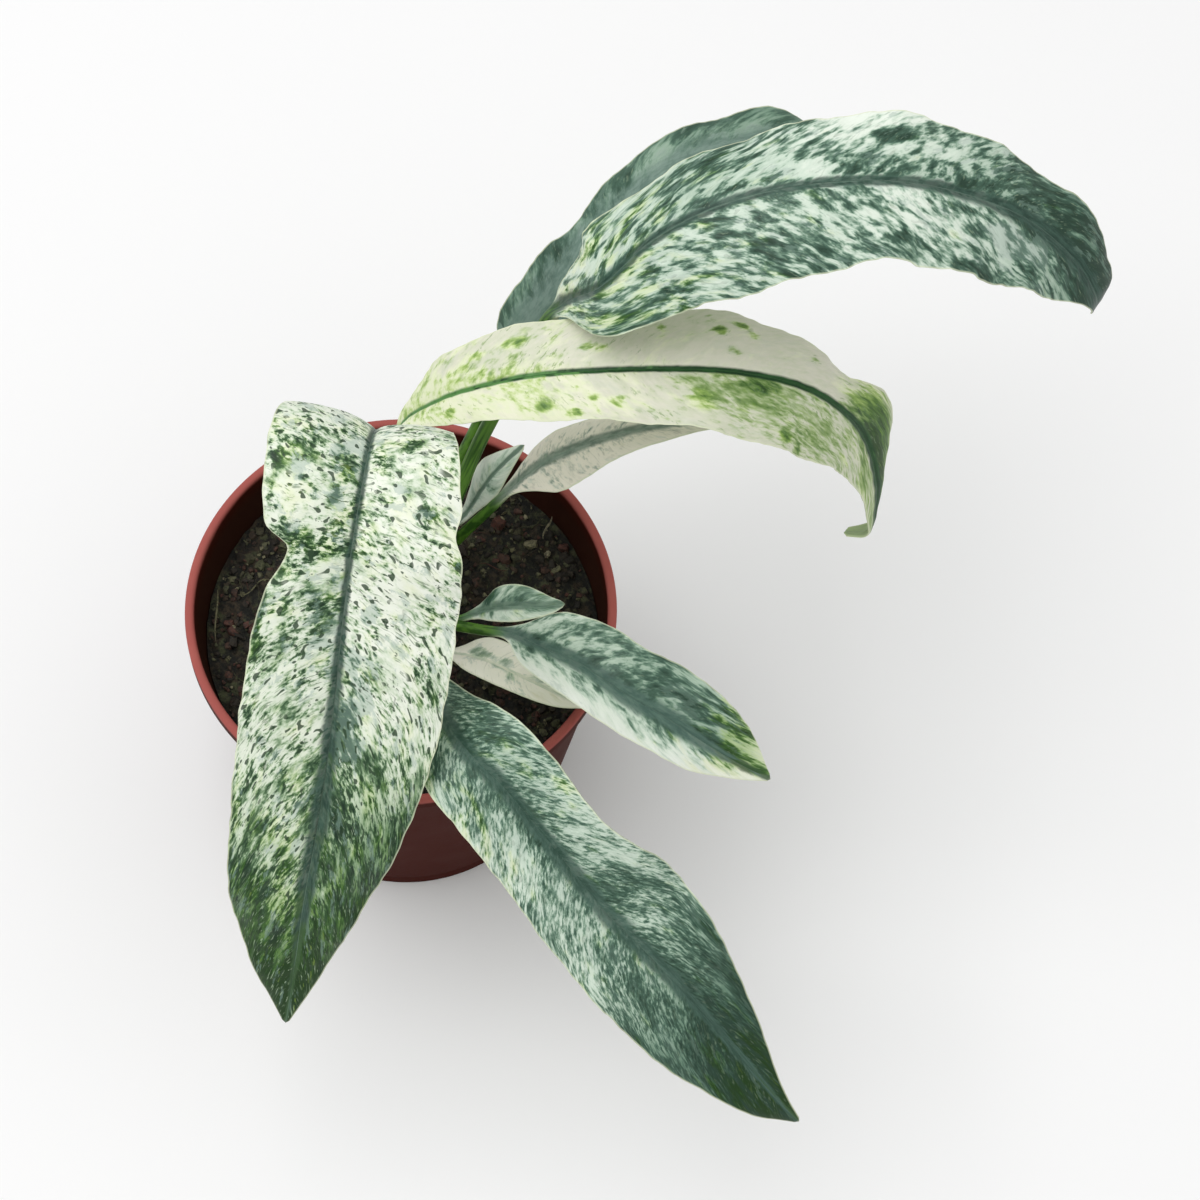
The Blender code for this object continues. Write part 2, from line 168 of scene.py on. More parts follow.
class ShaderSheet:
    """One material's node tree, round a Principled shader."""

    def __init__(self, name: str) -> None:
        """Start a material with an empty Principled shader.

        Args:
            name: the material's name.
        """
        self.material = bpy.data.materials.new(name)
        self.material.use_nodes = True
        self.tree = self.material.node_tree
        self.shader = self.tree.nodes["Principled BSDF"]

    def make(
        self,
        kind: str,
        settings: Mapping[str, Any] | None = None,
        sockets: Mapping[str | int, Any] | None = None,
        output: str | int = 0,
    ) -> Signal:
        """Add any node.

        Args:
            kind: the node's type.
            settings: its own settings, set first. "stops" gives a ramp's places and colours.
            sockets: a value or a signal for each input that isn't left as it is.
            output: which of its outputs is wanted.

        Returns:
            That output.
        """
        node = self.tree.nodes.new(kind)
        for key, value in (settings or {}).items():
            if key == "stops":
                ramp = node.color_ramp
                while len(ramp.elements) < len(value):
                    ramp.elements.new(1.0)
                for element, (place, colour) in zip(ramp.elements, value):
                    element.position = place
                    element.color = (*colour, 1.0)
            else:
                setattr(node, key, value)
        for key, value in (sockets or {}).items():
            self.feed(node.inputs[key], value)
        return Signal(self, node.outputs[output])

    def feed(self, socket: bpy.types.NodeSocket, value: Any) -> None:
        """Link a signal to a socket, or set the socket's own value.

        Args:
            socket: the socket.
            value: a signal, a number, a colour or a vector.
        """
        if isinstance(value, Signal):
            self.tree.links.new(value.socket, socket)
        elif socket.type == "RGBA" and len(value) == 3:
            socket.default_value = (*value, 1.0)
        else:
            socket.default_value = value

    def attribute(self, name: str) -> Signal:
        """Read a number that the mesh holds."""
        return self.make("ShaderNodeAttribute", {"attribute_name": name}, {}, "Fac")

    def place(self) -> Signal:
        """Read Object coordinates, in metres."""
        return self.make("ShaderNodeTexCoord", {}, {}, "Object")

    def vector(self, x: float | Signal, y: float | Signal, z: float | Signal) -> Signal:
        """Put three numbers into one vector."""
        return self.make("ShaderNodeCombineXYZ", {}, {0: x, 1: y, 2: z})

    def noise(self, at: Signal, scale: float, detail: float = 3.0, roughness: float = 0.55) -> Signal:
        """Noise about 0.5.

        Args:
            at: where it is read.
            scale: how many lumps there are in one unit.
            detail: how many finer layers it has.
            roughness: how strong they are.

        Returns:
            The noise.
        """
        sockets = {"Vector": at, "Scale": scale, "Detail": detail, "Roughness": roughness}
        return self.make("ShaderNodeTexNoise", {}, sockets, "Fac")

    def ramp(self, stops: Stops, at: Signal) -> Signal:
        """Look a colour up on a ramp of stops."""
        return self.make("ShaderNodeValToRGB", {"stops": stops}, {0: at}, "Color")

    def blend(self, factor: float | Signal, first: RGB | Signal, second: RGB | Signal) -> Signal:
        """Go from one colour to another.

        Args:
            factor: 0 for the first, 1 for the second.
            first: the first colour.
            second: the second colour.

        Returns:
            The colour between.
        """
        settings = {"data_type": "RGBA", "clamp_factor": True}
        return self.make("ShaderNodeMix", settings, {0: factor, 6: first, 7: second}, 2)

    def bump(self, height: Signal, distance: float, strength: float = 1.0) -> Signal:
        """Make a relief's normal from its height, which is 1 at distance millimetres."""
        sockets = {"Height": height, "Distance": distance * MM, "Strength": strength}
        return self.make("ShaderNodeBump", {}, sockets, "Normal")

    def surface(self, **sockets: Any) -> bpy.types.Material:
        """Set the shader's sockets.

        Args:
            sockets: their values or signals, named with _ for a space.

        Returns:
            The material.
        """
        for key, value in sockets.items():
            self.feed(self.shader.inputs[key.replace("_", " ")], value)
        return self.material


def deselect() -> None:
    """Leave nothing selected."""
    for thing in bpy.context.selected_objects:
        thing.select_set(False)


def choose(piece: bpy.types.Object) -> None:
    """Make one piece the only one selected, and the active one.

    Args:
        piece: the piece.
    """
    deselect()
    piece.select_set(True)
    bpy.context.view_layer.objects.active = piece


def wrapped(
    name: str,
    places: np.ndarray,
    numbers: Mapping[str, np.ndarray] | None = None,
    sharp: float = 50.0,
) -> bpy.types.Object:
    """Bend a grid primitive over a table of places and weld its seams and poles.

    Args:
        name: the piece's name.
        places: rows by columns by x, y, z in millimetres, turning to the left round each row.
        numbers: named numbers by rows and columns that the mesh is to hold.
        sharp: edges that turn more than this many degrees stay sharp.

    Returns:
        The piece, at the origin.
    """
    rows, columns = places.shape[:2]
    deselect()
    bpy.ops.mesh.primitive_grid_add(x_subdivisions=columns - 1, y_subdivisions=rows - 1, size=2)
    piece = bpy.context.object
    piece.name = name
    mesh = piece.data
    mesh.name = name
    flat = np.empty(len(mesh.vertices) * 3)
    mesh.vertices.foreach_get("co", flat)
    flat = flat.reshape(-1, 3)
    column = np.rint((flat[:, 0] + 1) / 2 * (columns - 1)).astype(int)
    row = np.rint((flat[:, 1] + 1) / 2 * (rows - 1)).astype(int)
    mesh.vertices.foreach_set("co", (places[row, column] * MM).ravel())
    for key, table in (numbers or {}).items():
        mesh.attributes.new(key, "FLOAT", "POINT").data.foreach_set("value", table[row, column])
    bpy.ops.object.mode_set(mode="EDIT")
    bpy.ops.mesh.select_all(action="SELECT")
    bpy.ops.mesh.remove_doubles(threshold=MERGE * MM)
    bpy.ops.mesh.normals_make_consistent(inside=False)
    bpy.ops.object.mode_set(mode="OBJECT")
    choose(piece)
    bpy.ops.object.shade_smooth_by_angle(angle=radians(sharp))
    return piece


def through(stations: Any, at: np.ndarray) -> np.ndarray:
    """Read smooth values through given stations, on a Catmull-Rom curve.

    Args:
        stations: one row of values for each station.
        at: fractional station numbers.

    Returns:
        One row of values for each number in at.
    """
    table = np.asarray(stations, float)
    last = len(table) - 1
    padded = np.vstack([2 * table[0] - table[1], table, 2 * table[-1] - table[-2]])
    at = np.clip(np.asarray(at, float), 0, last)
    whole = np.minimum(at.astype(int), last - 1)
    t = (at - whole)[:, None]
    a, b, c, d = (padded[whole + k] for k in range(4))
    return 0.5 * (2 * b + (c - a) * t + (2 * a - 5 * b + 4 * c - d) * t**2 + (3 * b - a - 3 * c + d) * t**3)


def turned(profile: np.ndarray, sides: int) -> np.ndarray:
    """Turn a profile about the upright axis.

    Args:
        profile: rows of radius and height.
        sides: how many sides the round has.

    Returns:
        A ring of places for each row, whose last place is its first again.
    """
    turn = np.linspace(0, 2 * pi, sides + 1)[None, :]
    radius, height = profile[:, :1], profile[:, 1:]
    return np.stack([radius * np.cos(turn), radius * np.sin(turn), np.repeat(height, sides + 1, axis=1)], -1)


def unit(vectors: np.ndarray) -> np.ndarray:
    """Make vectors one long."""
    return vectors / np.linalg.norm(vectors, axis=-1, keepdims=True)


def ragged(at: np.ndarray, length: float, draw: np.random.Generator) -> np.ndarray:
    """Sum a few waves of about one length into an uneven line.

    Args:
        at: where it is read.
        length: the waves' length.
        draw: random numbers for their phases.

    Returns:
        The line's height at each place, between -1 and 1.
    """
    total = np.zeros_like(at)
    stretches = (0.6, 1.0, 1.7)
    for stretch in stretches:
        total += np.sin(2 * pi * at / (length * stretch) + draw.uniform(0, 2 * pi)) / len(stretches)
    return total


@dataclass(frozen=True)
class Grain:
    """One layer of noise along a leaf's veins.

    Its lumps are so wide and so long, in millimetres. detail is how many finer layers it has, rough how
    strong those are, and shift sets it apart from the other layers. As a mask it rises from low to high.
    """

    wide: float
    long: float
    detail: float
    rough: float
    shift: float
    low: float = 0.0
    high: float = 1.0


PATCHES = Grain(wide=4.5, long=9.0, detail=4.0, rough=0.62, shift=20)
FIELDS = Grain(wide=14.0, long=20.0, detail=2.0, rough=0.5, shift=40)
WARMTH = Grain(wide=5.0, long=8.0, detail=3.0, rough=0.6, shift=60)
CRISPNESS = Grain(wide=8.0, long=11.0, detail=3.0, rough=0.6, shift=80, low=-0.12, high=0.1)
SWAY = Grain(wide=7.0, long=7.0, detail=1.0, rough=0.55, shift=90)
ISLES = Grain(wide=4.5, long=7.0, detail=5.0, rough=0.66, shift=120, low=0.06, high=0.12)
SPECKS = Grain(wide=1.5, long=2.4, detail=0.0, rough=0.55, shift=150, low=0.17, high=0.2)
GROUPS = Grain(wide=9.0, long=12.0, detail=2.0, rough=0.5, shift=170, low=-0.12, high=0.0)
LINE_BREAKS = Grain(wide=9.0, long=0.6, detail=1.0, rough=0.5, shift=200, low=-0.12, high=0.05)
STALK_SHADES = Grain(wide=7.0, long=2.0, detail=2.0, rough=0.5, shift=260, low=-0.1, high=0.1)
BLOTS = Grain(wide=2.1, long=4.2, detail=4.0, rough=0.66, shift=300, low=0.15, high=0.175)
THREADS = Grain(wide=0.5, long=5.0, detail=2.0, rough=0.5, shift=330, low=0.09, high=0.18)
SPARKS = Grain(wide=0.7, long=2.8, detail=2.0, rough=0.55, shift=390, low=0.1, high=0.2)
RIB_SHADES = Grain(wide=4.0, long=1.6, detail=3.0, rough=0.62, shift=420, low=-0.12, high=0.12)
DASHES = Grain(wide=1.0, long=3.8, detail=3.0, rough=0.6, shift=450, low=0.1, high=0.14)
DASH_GROUPS = Grain(wide=7.0, long=9.0, detail=2.0, rough=0.5, shift=470, low=-0.08, high=0.08)


class BladeMap:
    """What a leaf's mesh holds, as signals, and the noise that runs along its veins."""

    HALVES_APART = 9.0
    SWAY_WIDTH = 2.4

    def __init__(self, sheet: ShaderSheet, seed: float) -> None:
        """Read the leaf's numbers.

        Args:
            sheet: the material's nodes.
            seed: what sets its noise apart from the other leaves'.
        """
        self.sheet = sheet
        self.across, self.vein, self.run = (sheet.attribute(key) for key in ("across", "vein", "run"))
        self.out = abs(self.across)
        self.half = self.across.step(-0.01, 0.01) * self.HALVES_APART + seed
        self.line = self.vein + self.straight(SWAY) * self.SWAY_WIDTH

    def read(self, grain: Grain, line: Signal) -> Signal:
        """Read a layer about 0, along veins that are numbered by line."""
        at = self.sheet.vector(line / grain.wide, self.run / grain.long, self.half + grain.shift)
        return self.sheet.noise(at, 1.0, grain.detail, grain.rough) - 0.5

    def straight(self, grain: Grain) -> Signal:
        """Read a layer along the straight veins."""
        return self.read(grain, self.vein)

    def swayed(self, grain: Grain) -> Signal:
        """Read a layer along veins that sway a little."""
        return self.read(grain, self.line)

    def mask(self, grain: Grain) -> Signal:
        """Read a swayed layer as a mask."""
        return self.swayed(grain).step(grain.low, grain.high)


COOL = (
    (0.0, shade(245, 248, 238)),
    (0.22, shade(234, 240, 224)),
    (0.38, shade(212, 224, 202)),
    (0.47, shade(178, 198, 166)),
    (0.54, shade(126, 154, 118)),
    (0.60, shade(80, 110, 76)),
    (0.70, shade(46, 74, 48)),
    (0.90, shade(26, 50, 32)),
)
WARM = (
    (0.0, shade(244, 248, 230)),
    (0.28, shade(230, 237, 206)),
    (0.40, shade(204, 219, 176)),
    (0.49, shade(158, 185, 128)),
    (0.56, shade(102, 137, 72)),
    (0.65, shade(56, 94, 38)),
    (0.88, shade(28, 58, 18)),
)


@dataclass(frozen=True)
class LeafFinish:
    """The colours of a leaf, and how strong the layers of its marbling are.

    The ramps cool and warm give the colours from the palest to the greenest tissue. The finest marbling has
    marks that are streak millimetres wide and stretch times longer, with detail and crumbly for its finer
    layers. fine, middle and broad are the strengths of that marbling, of its patches and of its fields.
    even is how much of the fine marbling stays where it fades, and palest how pale the tissue may turn.
    hazy, threaded, sparked, flecked and dashed say how strongly the isles of haze, the thin threads, the
    light sparks on green, the dark flecks and the dashes on pale tissue show. The rib is covered by the
    core's colour, which is feathered at its sides and lined with a paler line down its middle.
    """

    cool: Stops = COOL
    warm: Stops = WARM
    light_haze: RGB = shade(182, 198, 186)
    dark_haze: RGB = shade(104, 130, 116)
    core: RGB = shade(58, 86, 74)
    core_shade: RGB = shade(36, 62, 52)
    core_line: RGB = shade(124, 152, 134)
    warm_core: RGB = shade(54, 84, 48)
    thread: RGB = shade(100, 124, 92)
    spark: RGB = shade(168, 190, 158)
    fleck: RGB = shade(44, 68, 44)
    dash: RGB = shade(52, 78, 52)
    warm_dash: RGB = shade(96, 122, 50)
    edge: RGB = shade(220, 226, 194)
    under: RGB = shade(164, 180, 138)
    stalk: RGB = shade(86, 128, 44)
    stalk_shade: RGB = shade(48, 84, 26)
    streak: float = 1.3
    stretch: float = 2.3
    detail: float = 5.0
    crumbly: float = 0.66
    fine: float = 2.7
    middle: float = 1.1
    broad: float = 0.7
    even: float = 0.3
    palest: float = 0.47
    hazy: float = 0.7
    threaded: float = 0.7
    sparked: float = 0.6
    flecked: float = 0.9
    dashed: float = 0.95
    lined: float = 0.5
    feathered: float = 1.0
    covered: float = 0.9
    roughness: float = 0.42
    gloss: float = 0.25

    # How much noise adds to the warmth and to the sides of the rib's zone, and what share is left of a step
    # past the palest tissue.
    WARM_SPREAD = 2.4
    FEATHER_FINE = 1.5
    FEATHER_PATCHES = 1.8
    HELD_BACK = 0.22

    # Where masks leave 0 and reach 1, and how strongly the last layers cover those below.
    WARM_TISSUE = (0.35, 0.95)
    WARM_RIB = (0.6, 1.1)
    DARK_HAZE_FROM = (0.42, 0.60)
    SPARKS_FROM = (0.52, 0.62)
    DASHES_FROM = (0.17, 0.25)
    THREADS_BETWEEN = (0.12, -0.06)
    RIB_ENDS = (1.6, 0.7)
    LINE_ENDS = (0.34, 0.12)
    EDGE_ENDS = (0.6, 0.2)
    EDGE_COVER = 0.6
    UNDER_COVER = 0.72

    # The skin's relief, in millimetres, and how much rougher its specks are.
    FIBRE_STEP = 1.7
    FIBRE_RELIEF = 0.2
    RELIEF = 0.08
    SPECK_ROUGHNESS = 0.2

    def dress(self, name: str, seed: float) -> bpy.types.Material:
        """Make the material.

        Args:
            name: its name.
            seed: where in the noise this leaf's marbling is read.

        Returns:
            The material.
        """
        sheet = ShaderSheet(name)
        blade = BladeMap(sheet, seed)
        streaks = Grain(self.streak, self.streak * self.stretch, self.detail, self.crumbly, 0)
        fine = blade.swayed(streaks)
        patches = blade.swayed(PATCHES)
        specks = blade.straight(SPECKS)
        level = self.level(blade, fine, patches)
        warmth = sheet.attribute("warm") + blade.swayed(WARMTH) * self.WARM_SPREAD
        colour = self.tissue(blade, level, warmth)
        colour = self.speckle(blade, level, warmth, specks, colour)
        feather = (fine * self.FEATHER_FINE + patches * self.FEATHER_PATCHES) * self.feathered
        colour = self.lay_rib(blade, feather, warmth, colour)
        colour = self.lay_edges(blade, colour)
        fibres = (blade.vein * (2 * pi / self.FIBRE_STEP)).sine() * self.FIBRE_RELIEF + fine
        return sheet.surface(
            Base_Color=colour,
            Roughness=specks * self.SPECK_ROUGHNESS + self.roughness,
            Normal=sheet.bump(fibres, self.RELIEF),
            Specular_IOR_Level=self.gloss,
        )

    def level(self, blade: BladeMap, fine: Signal, patches: Signal) -> Signal:
        """Work out how green the tissue is, on the ramps' scale.

        Args:
            blade: the leaf's map.
            fine: its finest marbling.
            patches: its patches.

        Returns:
            The level, held back where it would be paler than the leaf's palest tissue.
        """
        sheet = blade.sheet
        crisp = blade.mask(CRISPNESS) * (1 - self.even) + self.even
        marbling = fine * crisp * sheet.attribute("bold") * self.fine
        fields = blade.swayed(FIELDS) * self.broad
        level = sheet.attribute("green") + marbling + patches * self.middle + fields
        palest = sheet.attribute("palest")
        return level.most(palest + (level - palest) * self.HELD_BACK)

    def tissue(self, blade: BladeMap, level: Signal, warmth: Signal) -> Signal:
        """Colour the marbled tissue and its isles of haze.

        Args:
            blade: the leaf's map.
            level: how green the tissue is.
            warmth: how warm it is.

        Returns:
            The colour.
        """
        sheet = blade.sheet
        cool, warm = sheet.ramp(self.cool, level), sheet.ramp(self.warm, level)
        colour = sheet.blend(warmth.step(*self.WARM_TISSUE), cool, warm)
        isles = (blade.swayed(ISLES) + sheet.attribute("haze")).step(ISLES.low, ISLES.high)
        haze = sheet.blend(level.step(*self.DARK_HAZE_FROM), self.light_haze, self.dark_haze)
        return sheet.blend(isles * self.hazy, colour, haze)

    def speckle(
        self, blade: BladeMap, level: Signal, warmth: Signal, specks: Signal, colour: Signal
    ) -> Signal:
        """Lay threads, sparks, dashes and flecks over the tissue.

        Args:
            blade: the leaf's map.
            level: how green the tissue is.
            warmth: how warm it is.
            specks: the layer of round specks.
            colour: the tissue's colour.

        Returns:
            The colour.
        """
        sheet = blade.sheet
        groups = blade.swayed(GROUPS)
        threads = blade.mask(THREADS) * groups.step(*self.THREADS_BETWEEN)
        colour = sheet.blend(threads * self.threaded, colour, self.thread)
        sparks = blade.mask(SPARKS) * level.step(*self.SPARKS_FROM)
        colour = sheet.blend(sparks * self.sparked, colour, self.spark)
        dashes = blade.mask(DASHES) * blade.mask(DASH_GROUPS)
        dashes = dashes * sheet.attribute("green").step(*self.DASHES_FROM)
        dash = sheet.blend(warmth.step(*self.WARM_TISSUE), self.dash, self.warm_dash)
        colour = sheet.blend(dashes * self.dashed, colour, dash)
        dots = specks.step(SPECKS.low, SPECKS.high) * groups.step(GROUPS.low, GROUPS.high)
        dots = dots.most(blade.straight(BLOTS).step(BLOTS.low, BLOTS.high))
        return sheet.blend(dots * self.flecked, colour, self.fleck)

    def lay_rib(self, blade: BladeMap, feather: Signal, warmth: Signal, colour: Signal) -> Signal:
        """Lay the plain zone along the rib and its paler line over the tissue.

        Args:
            blade: the leaf's map.
            feather: how uneven the zone's sides are.
            warmth: how warm the tissue is.
            colour: its colour.

        Returns:
            The colour.
        """
        sheet = blade.sheet
        ratio = blade.out / sheet.attribute("core") + feather
        tint = sheet.blend(blade.mask(RIB_SHADES), self.core, self.core_shade)
        tint = sheet.blend(warmth.step(*self.WARM_RIB), tint, self.warm_core)
        colour = sheet.blend(ratio.step(*self.RIB_ENDS) * self.covered, colour, tint)
        line = blade.out.step(*self.LINE_ENDS) * blade.mask(LINE_BREAKS)
        return sheet.blend(line * self.lined, colour, self.core_line)

    def lay_edges(self, blade: BladeMap, colour: Signal) -> Signal:
        """Lay the pale margin, the underside and the stalk over the tissue.

        Args:
            blade: the leaf's map.
            colour: the tissue's colour.

        Returns:
            The colour.
        """
        sheet = blade.sheet
        margin = (sheet.attribute("half_width") - blade.out).step(*self.EDGE_ENDS)
        colour = sheet.blend(margin * self.EDGE_COVER, colour, self.edge)
        colour = sheet.blend((1 - sheet.attribute("upper")) * self.UNDER_COVER, colour, self.under)
        stalk = sheet.blend(blade.mask(STALK_SHADES), self.stalk, self.stalk_shade)
        return sheet.blend(sheet.attribute("stalk"), colour, stalk)


@dataclass(frozen=True)
class Nick:
    """A place where one margin steps in and then swells out again.

    station is its place in station numbers of the blade, depth how many millimetres deep it is, and before
    and after how many stations it takes on either side.
    """

    side: Side
    station: float
    depth: float
    before: float
    after: float


@dataclass(frozen=True)
class Mark:
    """A blotch on a blade: its middle and half size along and across, left being below 0 across.

    It adds to how green, how warm, how hazy and how boldly marbled the tissue is there.
    """

    along: float
    across: float
    long: float
    wide: float
    green: float = 0.0
    warm: float = 0.0
    haze: float = 0.0
    bold: float = 0.0

    def strength(self, along: np.ndarray, across: np.ndarray) -> np.ndarray:
        """How much of the mark lies on each place of a blade."""
        away = ((along - self.along) / self.long) ** 2 + ((across - self.across) / self.wide) ** 2
        return np.exp(-(away**2))


@dataclass(frozen=True)
class Leaf:
    """One leaf with its stalk.

    Each stalk point is x, y, z and radius. Each blade station on the rib is x, y, z, the widths left and
    right of the rib, and how many degrees each half is lifted there. Each tone is a share of the blade's
    length, then how green the left half is by the rib and at its margin, the same for the right half, half
    the width of the plain zone along the rib, and how warm the greens are. Each lean is a share, then how
    far the left and the right half's veins run forward for each millimetre outward. fade is how much of
    the marbling is lost at the tip, droop how many degrees each half bends down from rib to margin, and
    wave and wave_length are the height and length of the waves along the margins.
    """

    node: str
    slot: Slot
    seed: int
    stalk: Rows
    blade: Rows
    tones: Rows
    marks: tuple[Mark, ...] = ()
    finish: LeafFinish = LeafFinish()
    leans: Rows = (
        (0.0, 0.3, 0.3),
        (0.45, 0.5, 0.5),
        (0.65, 0.95, 0.95),
        (0.85, 1.6, 1.6),
        (1.0, 2.3, 2.3),
    )
    fade: float = 0.2
    droop: float = 20.0
    wave: float = 0.8
    wave_length: float = 30.0
    nicks: tuple[Nick, ...] = ()
    half_columns: int = 28
    row_step: float = 1.25

    # The section's shape, in millimetres, degrees and shares of the half's width.
    THICK = 0.7
    THINNED = 0.55
    RIB_DEPTH = 1.05
    RIB_GROOVE = 0.25
    RIB_WIDTH = 0.85
    TIP_RIB = 0.35
    LEAST_WIDTH = 0.4
    STALK_BLEND = 0.9
    WIDE_BLADE = 12.0
    HALVES_PHASE = 1.9
    MARGIN_TURN = 0.98
    VEIN_STEP = 6.5
    VEIN_LIFT = 0.16
    VEIN_RUN = 0.7
    VEIN_CROWD = 0.7
    RUFFLE = 0.3
    RUFFLE_LENGTH = 8.0
    RAGGED = 0.012
    RAGGED_LENGTH = 13.0

    # How fine the mesh and the tables are.
    COLUMN_CROWD = 1.4
    LEAST_ROWS = 40
    PATH_POINTS = 960
    VEIN_POINTS = 900

    # How the veins curve away from the rib, how pale the tissue may turn, and how far apart seeds lie.
    VEIN_START = 0.8
    VEIN_CURVE = 0.4
    PALE_LIMIT = 0.12
    PALE_SHARE = 0.5
    PALE_SHIFT = 0.25
    SEED_STEP = 1.7

    # The columns of the path's rows.
    PLACE = slice(0, 3)
    RIGHT = slice(3, 6)
    UP = slice(6, 9)
    WIDTHS = slice(9, 11)
    LIFTS = slice(11, 13)
    RADIUS = 13
    BLADE = 14

    def path(self) -> tuple[np.ndarray, np.ndarray, float]:
        """Work out the rib's path and what changes along it.

        Returns:
            Rows of place, right, up, widths, lifts, radius and how much of the section is blade; how far
            along each row is; and how far along the blade's foot is.
        """
        stalk = np.array(self.stalk, float)
        blade = np.array(self.blade, float)
        foot = len(stalk)
        at = np.linspace(0, foot + len(blade) - 1, self.PATH_POINTS)
        points = through(np.vstack([stalk[:, :3], blade[:, :3]]), at)
        forward = unit(np.gradient(points, axis=0))
        side = np.cross(unit((blade[-1, :3] - blade[0, :3]) * (1, 1, 0)), (0.0, 0.0, 1.0))
        right = np.empty_like(forward)
        for k, ahead in enumerate(forward):
            side = unit(side - np.dot(side, ahead) * ahead)
            right[k] = side
        round_part = np.repeat([[stalk[-1, 3], stalk[-1, 3], *blade[0, 5:]]], foot, axis=0)
        form = through(np.vstack([round_part, blade[:, 3:]]), at)
        for nick in self.nicks:
            past = at - foot - nick.station
            spread = np.where(past < 0, nick.before, nick.after)
            form[:, 0 if nick.side is Side.LEFT else 1] -= nick.depth * np.exp(-((past / spread) ** 2))
        form[:, :2] = np.maximum(form[:, :2], self.LEAST_WIDTH)
        radii = np.concatenate([stalk[:, 3], np.linspace(stalk[-1, 3], self.TIP_RIB, len(blade))])
        radius = through(radii[:, None], at)
        share = np.clip((at - foot + self.STALK_BLEND) / self.STALK_BLEND, 0, 1)
        share = share * share * (3 - 2 * share)
        steps = np.linalg.norm(np.diff(points, axis=0), axis=1)
        far = np.concatenate([[0.0], np.cumsum(steps)])
        rows = np.column_stack([points, right, np.cross(right, forward), form, radius, share])
        return rows, far, float(np.interp(foot, at, far))

    def lean(self, side: Side, share: np.ndarray) -> np.ndarray:
        """How far a half's veins run forward for each millimetre outward, at shares of the blade."""
        table = np.array(self.leans, float)
        return np.interp(share, table[:, 0], table[:, 1 if side is Side.LEFT else 2])

    def spaced(self, side: Side, starts: np.ndarray, length: float) -> np.ndarray:
        """Number a half's veins by the millimetres that lie between them, at right angles.

        Args:
            side: which half.
            starts: where on the rib the vein of each place starts.
            length: the blade's length.

        Returns:
            The vein's number at each place.
        """
        rib = np.linspace(-2 * length, length, self.VEIN_POINTS)
        spread = 1 / np.sqrt(1 + self.lean(side, np.clip(rib / length, 0, 1)) ** 2)
        number = np.cumsum(spread) * (rib[1] - rib[0])
        return np.interp(starts, rib, number)

    def half(
        self, side: Side, rows: np.ndarray, stops: np.ndarray, draw: np.random.Generator
    ) -> tuple[np.ndarray, np.ndarray, np.ndarray, np.ndarray]:
        """Shape one half of every section.

        Args:
            side: which half.
            rows: the path's rows.
            stops: how far along each row is.
            draw: the leaf's random numbers.

        Returns:
            The upper and the lower face, as rows by columns by across and up, the distance from the rib,
            and the half's width.
        """
        radius, share = rows[:, self.RADIUS, None], rows[:, self.BLADE, None]
        column = 0 if side is Side.LEFT else 1
        width = rows[:, self.WIDTHS][:, column, None]
        width = width * (1 + self.RAGGED * ragged(stops, self.RAGGED_LENGTH, draw)[:, None] * share)
        out = np.linspace(0, 1, self.half_columns + 1)[None, :] ** self.COLUMN_CROWD
        reach = width * out
        start = np.radians(rows[:, self.LIFTS][:, column, None])
        bend = radians(self.droop) / width
        slope = start - bend * reach
        across = (np.sin(start) - np.sin(slope)) / bend
        up = (np.cos(slope) - np.cos(start)) / bend
        phase = 2 * pi * stops[:, None] / self.wave_length + (0.0 if side is Side.LEFT else self.HALVES_PHASE)
        small = share * np.minimum(1.0, width / self.WIDE_BLADE)
        up = up + self.wave * small * out**2 * np.sin(phase)
        up = up + self.RUFFLE * small * out**3 * ragged(stops, self.RUFFLE_LENGTH, draw)[:, None]
        vein = 2 * pi * (stops[:, None] - self.VEIN_RUN * reach) / self.VEIN_STEP
        up = up + self.VEIN_LIFT * small * (np.sin(vein) * np.sin(pi * out**self.VEIN_CROWD))
        thick = self.THICK / 2 * (1 - self.THINNED * out**6)
        rib = np.exp(-((reach / (self.RIB_WIDTH * radius)) ** 2))
        inward, upward = np.sin(slope) * thick, np.cos(slope) * thick
        top = np.stack([across - inward, up + upward - rib * self.RIB_GROOVE * radius], -1)
        low = np.stack([across + inward, up - upward - rib * self.RIB_DEPTH * radius], -1)
        turn = pi / 2 * (1 - self.MARGIN_TURN * out)
        disc = radius[..., None] * np.stack([np.cos(turn), np.sin(turn)], -1)
        top = (1 - share[..., None]) * disc + share[..., None] * top
        low = (1 - share[..., None]) * disc * (1, -1) + share[..., None] * low
        top[:, :, 0] *= side.value
        low[:, :, 0] *= side.value
        return top, low, reach * side.value, np.repeat(width, reach.shape[1], axis=1)

    @staticmethod
    def ring(upper_l: Any, upper_r: Any, lower_l: Any, lower_r: Any) -> np.ndarray:
        """Lay four quarter tables round the section, from the left margin over the top and back."""
        parts = [upper_l[:, ::-1], upper_r[:, 1:], lower_r[:, ::-1], lower_l[:, 1:], upper_l[:, -1:]]
        return np.concatenate(parts, axis=1)

